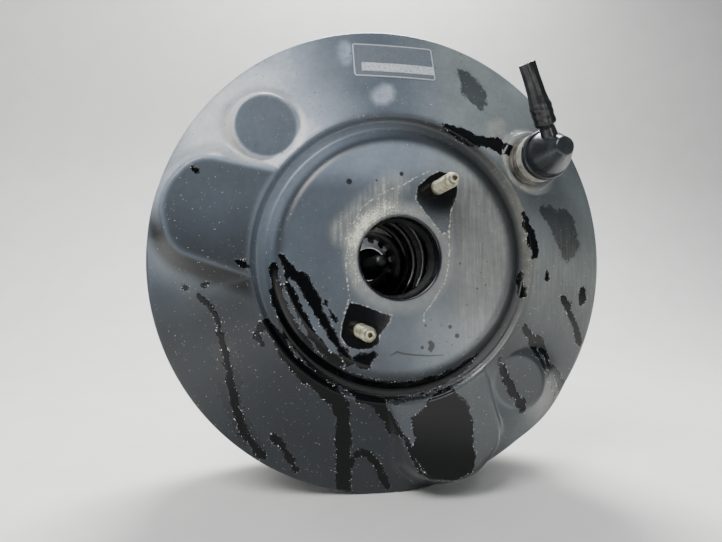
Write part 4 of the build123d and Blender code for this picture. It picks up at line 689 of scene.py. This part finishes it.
# %% The film, the grit and the crust
uneven = add("Math", {0: noise["clouds"], 1: 0.9, 2: 0.37}, **TIMES_PLUS)
uneven = add("Math", {0: noise["powder"], 1: 0.36, 2: uneven}, **TIMES_PLUS)
film = add("Math", {0: fields["film_and_painted_light"], 1: uneven}, **TIMES, use_clamp=True)
thin_film = add("MapRange", span(film, 0, 0.6))
across = add("SeparateXYZ", {"Vector": place})
road_dust = add("MapRange", span(across, -5 * MM, 40 * MM, 0, 0.8))
film_tint = add("Mix", {0: road_dust, 6: linear("#7b8795"), 7: linear("#858c8b")}, **COLOURS)
film_colour = add("Mix", {0: thin_film, 6: linear("#0c0e10"), 7: film_tint}, **COLOURS)
# Where the film is thickest, mostly on the upper-left cone, it turns pale: partly dust, partly a painted
# highlight.
pale_film_and_highlight = add("MapRange", span(film, 0.5, 1))
film_colour = add("Mix", {0: pale_film_and_highlight, 6: film_colour, 7: linear("#c6c5c0")}, **COLOURS)
tall = add("Mapping", {"Vector": place, "Scale": (1, 1, 0.07)})
streak = add("TexNoise", speckle(tall, 1.6))
grains = add("TexNoise", {**speckle(place, 0.9), "Roughness": 0.7})
strength = add("Math", {0: streak, 1: 3, 2: -0.5}, **TIMES_PLUS)
level = add("Math", {0: strength, 1: fields["streaky"], 2: fields["dust"]}, **TIMES_PLUS)
strength = add("Math", {0: noise["patchy"], 1: 1.3, 2: 0.35}, **TIMES_PLUS)
level = add("Math", {0: level, 1: strength}, **TIMES)
grit = add("Math", {0: level, 1: 0.27, 2: grains}, **TIMES_PLUS)
grit = add("MapRange", span(grit, 0.72, 0.90), **SOFTLY)
specks = add("MapRange", span(noise["specks"], 0.815, 0.84, 0, 0.7))
grit = add("Math", {0: grit, 1: specks}, **GREATER)
veil = add("Math", {0: level, 1: 0.30}, **TIMES)
grit_mask = add("Math", {0: grit, 1: veil}, **GREATER)
off_ears = add("Math", {0: 1, 1: ear_mask}, operation="SUBTRACT")
grit_mask = add("Math", {0: grit_mask, 1: off_ears}, **TIMES)
crust_edge = add("Math", {0: fields["crust"], 1: 2.0}, **TIMES)
crust_edge = add("Math", {0: noise["broken"], 1: 5, 2: crust_edge}, **TIMES_PLUS)
crust_mask = add("MapRange", span(crust_edge, 3.4, 2.4, 0, 0.6), **SOFTLY)
pale_mask = add("Math", {0: grit_mask, 1: crust_mask}, **GREATER)
pits = add("MapRange", span(noise["pores"], 0.72, 0.76))
pits = add("Math", {0: pits, 1: fields["film_and_painted_light"]}, **TIMES)
clean = add("Math", {0: ear_mask, 1: fields["bare"]}, **TIMES)
clean = add("Math", {0: clean, 1: wet_mask}, **GREATER)
clean = add("Math", {0: clean, 1: pits}, **GREATER)
print("film ready:", len(dusty_enamel.node_tree.nodes))

# %% Put the enamel together
# Painted glints: pale specks along the edges of the wet runs are painted as highlights.
band = add("Math", {0: wet_edge}, operation="ABSOLUTE")
band = add("MapRange", span(band, 0.8, 0.3))
glint_dots = add("MapRange", span(noise["glint_dots"], 0.66, 0.72))
painted_glints = add("Math", {0: band, 1: glint_dots}, **TIMES)
colour = film_colour
for mask, tone in ((damp_mask, "#181b1e"), (pale_mask, "#c6c5b6"), (scratch_mask, "#101312"),
                   (clean, "#060708"), (painted_glints, "#dde1e4")):
    colour = add("Mix", {0: mask, 6: colour, 7: linear(tone)}, **COLOURS)
rough = add("Math", {0: noise["fine"], 1: 0.14, 2: 0.31}, **TIMES_PLUS)
rough = add("Math", {0: pale_mask, 1: 0.35, 2: rough}, **TIMES_PLUS)
washed = add("Math", {0: clean, 1: damp_mask}, **GREATER)
washed = add("Math", {0: washed, 1: -0.74, 2: 1.0}, **TIMES_PLUS)
rough = add("Math", {0: rough, 1: washed}, **TIMES)
relief = 0.0
for height, share in ((noise["peel"], 0.10), (noise["tooth"], 0.05), (grit, 0.10), (wet_bead, 0.40)):
    relief = add("Math", {0: height, 1: share, 2: relief}, **TIMES_PLUS)
bump = add("Bump", {"Height": relief, "Distance": MM, "Strength": 0.55})
index = add("MapRange", span(wet_mask, 0, 1, 1.50, 1.33))
close(add, add("BsdfPrincipled",
                {"Base Color": colour, "Roughness": rough, "Normal": bump, "IOR": index}))
fit(shell_skin, "casing", "black_paint", dusty_enamel, "front_shell")
print("enamel nodes:", len(dusty_enamel.node_tree.nodes))

# %% [markdown]
# The rear shell's CAD shape is right, so it only gets a finish: the same enamel, with dull clouds
# and a few grains of grit.

# %% Plain enamel for the rear shell
rear_enamel, add, place = new_finish("plain_black_enamel")
clouds = add("TexNoise", speckle(place, 30, 4))
film = add("Math", {0: clouds, 1: 0.6, 2: -0.12}, **TIMES_PLUS, use_clamp=True)
colour = add("Mix", {0: film, 6: linear("#141619"), 7: linear("#4a5157")}, **COLOURS)
grains = add("TexNoise", speckle(place, 1.2))
specks = add("MapRange", span(grains, 0.70, 0.76, 0, 0.5))
colour = add("Mix", {0: specks, 6: colour, 7: linear("#8c8c84")}, **COLOURS)
fine = add("TexNoise", speckle(place, 2))
rough = add("Math", {0: fine, 1: 0.25, 2: 0.22}, **TIMES_PLUS)
tooth = add("TexNoise", speckle(place, 1, 3))
bump = add("Bump", {"Height": tooth, "Distance": 0.08 * MM, "Strength": 0.6})
close(add, add("BsdfPrincipled", {"Base Color": colour, "Roughness": rough, "Normal": bump, "IOR": 1.5}))
dress(rear_enamel, "rear_shell")
print("rear shell dressed")

# %% [markdown]
# ## Zinc-plated studs
# The studs are zinc-plated steel with an M8 thread, 1.25 mm a turn. A turned grid with eight rings a
# turn carries the real helix: the radius falls and rises once for each turn round the axis. The end
# is a short dog point with a centre hole.

# %% Threads
THREAD_PITCH, THREAD_DEPTH, STUD_RADIUS, SEAT_RADIUS = 1.25, 0.68, 4, 4.6
HEAD_RADIUS, HEAD_SHEET = 6.3, 2.6
CYLINDER_STUDS_AT, CYLINDER_STUD_ANGLES = 45, (60.7, 240.7)
BULKHEAD_STUDS_AT, BULKHEAD_STUD_ANGLES, WALL_SHEET = 46, (45, 135, 225, 315), 1.6


def threaded_stud(name, x, z, tip, root, head_face, toward_front):
    """A stud from its tip to its head. It points to -Y, or to +Y when toward_front is -1."""
    length = root - tip
    path = bent(
        [(0.01, 4.4), (1.25, 4), (1.25, 0), (2.3, 0), (2.6, 0.4), (2.6, 3.2), (STUD_RADIUS, 4.6),
         (STUD_RADIUS, length), (SEAT_RADIUS, length), (SEAT_RADIUS, head_face - tip),
         (HEAD_RADIUS, head_face - tip), (HEAD_RADIUS, head_face - tip + HEAD_SHEET),
         (0.01, head_face - tip + HEAD_SHEET)],
        (0.05, 0.2, 0.25, 0.1, 0.4, 0.4, 0.05, 0.05, 0.05, 0.3, 0.5),
        THREAD_PITCH / 8,
    )

    def thread(radius, depth, turns):
        on = ease(3.9, 5.2, depth) * (1 - ease(length - 3, length - 1.5, depth))
        wave = 0.5 + 0.5 * np.cos(2 * math.pi * depth / THREAD_PITCH + turns)
        return radius - on * THREAD_DEPTH * wave

    stud = turned_piece(name, path, 48, ripple=thread)
    if toward_front < 0:
        stud.data.transform(Matrix.Rotation(math.pi, 4, "Z"))
    stud.data.transform(Matrix.Translation(Vector((x, tip if toward_front > 0 else -tip, z)) * MM))
    return stud


front_low, front_high = (corner.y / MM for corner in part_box("cylinder_studs"))
rear_low, rear_high = (corner.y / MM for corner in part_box("bulkhead_studs"))
wall_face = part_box("rear_stiffener")[1].y / MM + WALL_SHEET
front_ends = (front_low, 0, front_high - HEAD_SHEET, 1)
rear_ends = (-rear_high, -wall_face, -rear_low - HEAD_SHEET, -1)
studs = []
for kind, stud_angles, pitch, ends in (
    ("cylinder_stud", CYLINDER_STUD_ANGLES, CYLINDER_STUDS_AT, front_ends),
    ("bulkhead_stud", BULKHEAD_STUD_ANGLES, BULKHEAD_STUDS_AT, rear_ends),
):
    for number, stud_angle in enumerate(stud_angles, 1):
        stud = threaded_stud(f"{kind}_{number}", *polar(pitch, stud_angle), *ends)
        fit(stud, "casing", "zinc_steel", zinc, kind + "s")
        studs.append(stud)
print("studs:", len(studs), "with", len(studs[0].data.vertices), "points each")

# %% [markdown]
# ## The bare plate
# A foil plate is stuck on the cone at the top: a grey-blue field in a pale line, with one blank
# pale strip. Its points are lifted off the cone by the foil's 0.15 mm, so it follows its shape.

# %% Foil plate
PLATE_MIDDLE, PLATE_HALF, PLATE_CORNER, FOIL = (2.55, 117.15), (24.95, 11.85), 2.2, 0.15
STRIP_MIDDLE, STRIP_HALF = (4.6, 112.4), (21.8, 2.9)
half_x, half_z = PLATE_HALF
half = np.array(PLATE_HALF)[:, None, None]
grid = np.stack(np.meshgrid(np.linspace(-half_x, half_x, 90), np.linspace(-half_z, half_z, 48)))
over = np.maximum(np.abs(grid) - (half - PLATE_CORNER), 0)
pull = np.minimum(1, PLATE_CORNER / np.maximum(np.hypot(*over), 1e-9))
grid -= np.sign(grid) * over * (1 - pull)
reach = np.hypot(*over) * pull
inset = np.where(reach > 0, PLATE_CORNER - reach, (half - np.abs(grid)).min(axis=0))
plate_x, plate_z = grid + np.array(PLATE_MIDDLE)[:, None, None]
plate = grid_mesh("bare_plate", plate_x, land_depth(plate_x, plate_z) - FOIL, plate_z, closed=False)
plate.data.flip_normals()
strip = np.maximum(np.abs(plate_x - STRIP_MIDDLE[0]) - STRIP_HALF[0],
                   np.abs(plate_z - STRIP_MIDDLE[1]) - STRIP_HALF[1])
store(plate, {"inset": inset, "strip": strip})
foil, add, place = new_finish("printed_aluminium_foil")
edges = {name: add("Attribute", out="Fac", attribute_name=name) for name in ("inset", "strip")}
line = add("Math", {0: edges["inset"], 1: 0.9}, operation="SUBTRACT")
line = add("Math", {0: line}, operation="ABSOLUTE")
line = add("MapRange", span(line, 0.45, 0.2, 0, 0.75))
wear = add("TexNoise", speckle(place, 1.2, 3))
blank = add("MapRange", span(edges["strip"], 0.15, -0.15))
rubbed = add("MapRange", span(wear, 0.30, 0.55, 0.35, 0.9))
blank = add("Math", {0: blank, 1: rubbed}, **TIMES)
print_mask = add("Math", {0: line, 1: blank}, **GREATER)
dusty = add("MapRange", span(wear, 0.35, 0.75))
ground = add("Mix", {0: dusty, 6: linear("#5d646b"), 7: linear("#6b727a")}, **COLOURS)
colour = add("Mix", {0: print_mask, 6: ground, 7: linear("#c9ccd0")}, **COLOURS)
rough = add("Math", {0: wear, 1: 0.2, 2: 0.25}, **TIMES_PLUS)
close(add, add("BsdfPrincipled", {"Base Color": colour, "Metallic": 0.2, "Roughness": rough}))
fit(plate, "casing", "black_paint", foil)
print("plate is", 2 * half_x, "by", 2 * half_z, "mm")

# %% [markdown]
# ## The check valve
# The valve sits in a ribbed rubber grommet, brown with dust. The pale ring over it is the valve's
# nylon body, under a glossy black cap. The hose stub is a stiff moulding with a thick collar,
# crumpled a little where it was pushed on, and cut off square.

# %% Rubber and nylon finishes
grommet_rubber = rubber("grommet_rubber", "#1c1b19", "#68645a", (0.34, 0.66), 0.55, 0.8)
hose_rubber = rubber("extruded_hose_rubber", "#101112", "#2e2f30", (0.52, 0.75), 0.26, 1.2)
black_rubber = rubber("moulded_black_rubber", "#141415", "#3c3b38", (0.50, 0.80), 0.45, 0.7)
black_nylon = two_tone("moulded_black_nylon", ("#1b1e21", "#42474c"), (7, 5), (0.40, 0.90, 0.5),
                       (0.16, 0.22), (1, 3), (0.04, 0.6), {"IOR": 1.53})
pale_nylon = two_tone("natural_nylon", ("#a9a69b", "#67645b"), (2.5, 4), (0.45, 0.75, 1), (0, 0.42),
                      skin={"IOR": 1.53, "Subsurface Weight": 0.1, "Subsurface Scale": MM})
dress(black_nylon, "valve_cap", "filter_cap")
dress(pale_nylon, "valve_body", "neck_guide")
print("rubber and nylon ready")

# %% Grommet and hose stub
body_low, body_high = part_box("valve_body")
valve_x = (body_low.x + body_high.x) / 2 / MM
valve_z = (body_low.z + body_high.z) / 2 / MM
front, back = (corner.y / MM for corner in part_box("valve_grommet"))
STEM, HEAD, RIB, NECK, FLARE = 6.1, 14.2, 12.7, 9.3, 11.6
PAD_FACE = ROUND_PADS["valve"][3] - 0.1
grommet_path = bent(
    [(STEM, front), (HEAD - 1, front), (HEAD, front + 1.2), (HEAD, front + 2.9), (RIB, front + 3.6),
     (RIB, front + 4.2), (HEAD - 0.1, front + 4.9), (HEAD - 0.1, PAD_FACE - 1), (HEAD - 0.6, PAD_FACE),
     (NECK, PAD_FACE), (NECK, back - 4), (FLARE, back - 4), (FLARE - 2, back), (STEM, back),
     (STEM, front)],
    (0.6, 0.6, 0.7, 0.3, 0.3, 0.6, 0.5, 0.3, 0.05, 0.05, 0.8, 0.5, 0.05),
    0.3,
)
grommet = turned_piece("valve_grommet_ribbed", grommet_path, 120, (valve_x, valve_z))
fit(grommet, "casing", "grommet_rubber", grommet_rubber, "valve_grommet")
hose_end = next(m for m in frame["record"]["mounts"] if m["name"] == "hose_end")
hose_axis = Vector(hose_end["axis"]).normalized()
NIPPLE_SETBACK = 11.0
hose_root = Vector((valve_x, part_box("valve_cap")[1].y / MM - NIPPLE_SETBACK, valve_z))
hose_path = bent(
    [(3.8, 14.5), (5, 14.5), (5.7, 15.6), (5.5, 19), (5.7, 24.5), (4.7, 31), (4.4, 40),
     (4.5, 48.4), (2.9, 48.4), (2.8, 32)],
    (0.3, 0.6, 6, 4, 8, 30, 0.3, 0.3),
    0.35,
)


def crumple(radius, depth, turns):
    """The collar's creases, and the slightly flattened cut end."""
    collar = ease(14, 17, depth) * (1 - ease(24, 31, depth))
    creases = np.sin(3 * turns + depth * 0.9) * np.sin(5 * turns - depth * 0.6 + 1)
    flat = 0.10 * ease(36, 48, depth)
    wrinkles = (0.22 * creases + 0.10 * np.sin(11 * turns)) * collar
    return radius * (1 - flat * np.cos(2 * turns)) + wrinkles + 0.07 * np.sin(9 * turns + 0.05 * depth)


hose = turned_piece("hose_stub_moulding", hose_path, 64, ripple=crumple)
hose.data.transform(hose_axis.to_track_quat("Y", "Z").to_matrix().to_4x4())
hose.data.transform(Matrix.Translation(hose_root * MM))
fit(hose, "check_valve", "hose_rubber", hose_rubber, "hose_stub")
print("valve axis at", round(valve_x, 1), round(valve_z, 1), "mm")

# %% [markdown]
# ## Steel, plastic and foam inside
# These CAD shapes are right and only get finishes. Kinds of steel differ in colour, roughness and
# marks: stampings are satin, turned parts have fine rings.

# %% Metals
turned_steel = steel("turned_steel", "#9a9a98", "#6f6e6a", 0.22, 0.5, stretch=(0.05, 1, 0.05))
spring_wire = steel("drawn_spring_wire", "#77797b", "#4e4f50", 0.25, 1)
# The spring strip's tones are lifted above its steel's own as painted light, so the retainer shows in the
# dark mouth.
stamped_strip = steel("stamped_spring_strip", "#dfe2e5", "#b9bdc1", 0.40, 1.5, bare=0.3)
pressed_steel = steel("pressed_steel_plated", "#8f9089", "#63645f", 0.34, 3)
phosphate = steel("phosphated_steel", "#3b3c3d", "#232425", 0.38, 0.8)
dress(phosphate, "output_rod", "valve_plunger")
dress(turned_steel, "input_rod")
dress(spring_wire, "poppet_spring")
dress(stamped_strip, "rod_retainer", "stop_key")
dress(pressed_steel, "front_stiffener", "rear_stiffener", "seal_cup", "diaphragm_plate", "poppet_sleeve")
dress(zinc, "clevis", "lock_nut")
dress(black_rubber, "mouth_seal", "neck_seal", "reaction_disc", "poppet_valve", "valve_disc")
print("metals ready")

# %% Phenolic housing and foam
phenolic = two_tone("moulded_phenolic", ("#17171a", "#2b2a2b"), (4, 5), (0, 1, 1), (0.2, 0.28),
                    skin={"IOR": 1.55})
dress(phenolic, "control_housing")
foam, add, place = new_finish("open_cell_foam")
cells = add("TexVoronoi", {"Vector": place, "Scale": 1 / (0.9 * MM)}, feature="DISTANCE_TO_EDGE")
walls = add("MapRange", span(cells, 0, 0.25))
# The pores are painted darker than the cell walls, as painted shade in the holes.
colour = add("Mix", {0: walls, 6: linear("#6b6a62"), 7: linear("#2a2a28")}, **COLOURS)
bump = add("Bump", {"Height": walls, "Distance": 0.4 * MM, "Strength": 1.0})
close(add, add("BsdfPrincipled", {"Base Color": colour, "Roughness": 0.95, "Normal": bump, "IOR": 1.45}))
dress(foam, "air_filter")
print("housing and foam ready")

# %% [markdown]
# ## Rubber and springs
# The bellows and the diaphragm join the casing to the power piston. The bellows has new, round
# folds, and its last fold is tucked over a nose. The springs are copies of their CAD meshes, hung on
# their bodies.

# %% Bellows, diaphragm and spring
boot_low, boot_high = (corner.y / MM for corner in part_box("dust_boot"))
NECK_RADIUS, FOLDS, VALLEY, PEAK, RUBBER, TUCK = 27.6, 5, 22.8, 28.2, 1.1, 3
NOSE_RADIUS, NECK_LENGTH, NOSE_LENGTH = 5.4, 9, 6
neck_end, nose_start = boot_low + NECK_LENGTH, boot_high - NOSE_LENGTH
folds_start, folds_end = neck_end + 2, nose_start - 9
pitch = (folds_end - folds_start) / FOLDS
outer = [(NECK_RADIUS + RUBBER, boot_low), (NECK_RADIUS + RUBBER, folds_start)]
for fold in range(FOLDS):
    outer.append((VALLEY + RUBBER, folds_start + (fold + 0.25) * pitch))
    outer.append((PEAK + RUBBER, folds_start + (fold + 0.75) * pitch))
tuck_start = folds_end + 0.25 * pitch
tuck_end = tuck_start + TUCK
outer += [(VALLEY + RUBBER, tuck_start), (VALLEY + RUBBER, tuck_end)]


def rubber_walls(outer_line, rounds, step):
    """A closed path round a rubber wall, from its outer line."""
    inner_line = [(r - RUBBER, y) for r, y in reversed(outer_line)]
    return bent(outer_line + inner_line + outer_line[:1], (*rounds, 0.05, 0.05, *rounds[::-1]), step)


bellows = turned_piece("dust_boot_bellows", rubber_walls(outer, [1.2] * (2 * FOLDS + 2), 0.5), 128)
fit(bellows, None, "black_rubber", black_rubber, "dust_boot")
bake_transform(bellows)
nose_line = [(VALLEY - 0.6, tuck_start - 1), (VALLEY - 0.6, tuck_end + 1), (NOSE_RADIUS, nose_start),
             (NOSE_RADIUS, boot_high)]
nose = turned_piece("dust_boot_nose", rubber_walls(nose_line, (1.4, 1.4), 0.4), 96)
fit(nose, None, "black_rubber", black_rubber, "dust_boot")
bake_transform(nose)


def soft_copy(node):
    """The CAD mesh of one node as a free piece of its own."""
    piece = new_object(node + "_soft", frame["nodes"][node].data.copy())
    piece.data.materials.clear()
    return piece


diaphragm = soft_copy("diaphragm")
fit(diaphragm, None, "black_rubber", black_rubber, "diaphragm")
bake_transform(diaphragm)
for name, body, joint, travel_mm in (
    ("return_spring", "casing", "power_stroke", 38),
    ("input_spring", "power_piston", "plunger_travel", 2),
    ("valve_spring", "check_valve", "check_valve_lift", 2),
):
    spring = soft_copy(name)
    fit(spring, body, "spring_steel", spring_wire, name)
    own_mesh(spring)
print("bellows folds:", FOLDS, "at", round(pitch, 1), "mm")

# %% [markdown]
# ## Crimp tabs
# Sixteen tabs are lanced out of the skirt and bent inwards, to hold the rear shell's flange.

# %% Tabs round the skirt
TAB_COUNT, TAB_WIDTH, TAB_SHEET = 16, 9, 1.0
tab_line = bent([(136.9, 39.5), (136.9, 42.6), (131.6, 42.9)], (1.2,), 0.4)
step = np.gradient(tab_line, axis=0)
step = step / np.linalg.norm(step, axis=1)[:, None]
normal = np.stack([step[:, 1], -step[:, 0]], axis=1)
outside, inside = tab_line + normal * TAB_SHEET / 2, tab_line - normal * TAB_SHEET / 2
loop = np.concatenate([outside, inside[::-1], outside[:1]])
middle = tab_line[np.argmin(((loop[:, None] - tab_line) ** 2).sum(axis=2), axis=1)]
across = np.array([-0.5, -0.5, -0.44, 0.44, 0.5, 0.5]) * TAB_WIDTH
shrink = np.array([0, 0.8, 1, 1, 0.8, 0])
rows = middle + (loop - middle) * shrink[:, None, None]
tab_r, tab_y, offset = rows[..., 0], rows[..., 1], across[:, None]
corners, faces = [], []
for tab in range(TAB_COUNT):
    ox, oz = polar(1, 360.0 / TAB_COUNT * (tab + 0.5))
    tab_points = np.stack([tab_r * ox - offset * oz, tab_y, tab_r * oz + offset * ox], axis=-1)
    corners.append(tab_points.reshape(-1, 3))
    faces.append(quads(*tab_r.shape, False) + tab * tab_r.size)
crimp_tabs = new_piece("crimp_tabs", np.concatenate(corners), np.concatenate(faces))
fit(crimp_tabs, "casing", "black_paint", rear_enamel)
print("tabs:", TAB_COUNT)

# %% [markdown]
# ## Studio
# The floor is a plain pale sweep that the rim stands on. A large soft light hangs high on the left,
# one behind lights the sweep, two weak ones fill the front, a tiny one inside the mouth shows the
# retainer, and a pale blue-grey room gives the flats their even tone.

# %% Floor and lights
studio_paper = two_tone("studio_paper", ("#d2d2cf", "#dededb"), (40, 3), (0, 1, 1), (0, 0.8))
FLOOR_Z = cad_box[0][2] / MM
sweep_line = bent([(-420, FLOOR_Z), (750, FLOOR_Z), (750, 2200)], (400,), 50)
floor_grid = np.broadcast_arrays([[-2600, 2600]], sweep_line[:, :1], sweep_line[:, 1:])
floor = grid_mesh("studio_sweep", *floor_grid, closed=False)
floor.data.materials.append(studio_paper)


def softbox(name, place_mm, size_mm, power, aim_mm=(0, 0, 0)):
    """A square soft light that faces a point."""
    data = bpy.data.lights.new(name, "AREA")
    data.shape, data.size, data.energy = "SQUARE", size_mm * MM, power
    lamp = new_object(name, data)
    lamp.location = Vector(place_mm) * MM
    lamp.rotation_euler = (Vector(aim_mm) * MM - lamp.location).to_track_quat("-Z", "Y").to_euler()


softbox("high_left", (-490, -560, 760), 520, 13.5)
softbox("behind_above", (120, 620, 950), 500, 40)
softbox("low_right", (214, -520, -57), 160, 0.6)
softbox("front_high", (20, -640, 470), 150, 0.8)
softbox("inside_mouth", (-20, 30, 20), 3, 0.030, (-8, 92, 14))
room = bpy.data.worlds.new("studio_room")
bpy.context.scene.world = room
room.use_nodes = True
tree = room.node_tree
add = partial(add_node, tree)
background = tree.nodes["Background"]
height = add("TexCoord", out="Generated")
height = add("SeparateXYZ", {"Vector": height}, out="Z")
height = add("MapRange", span(height, -0.5, 0.7, 0.08, 0.36))
tree.links.new(height, background.inputs["Strength"])
background.inputs["Color"].default_value = linear("#c4cdd8")
print("floor at", round(FLOOR_Z, 1), "mm")
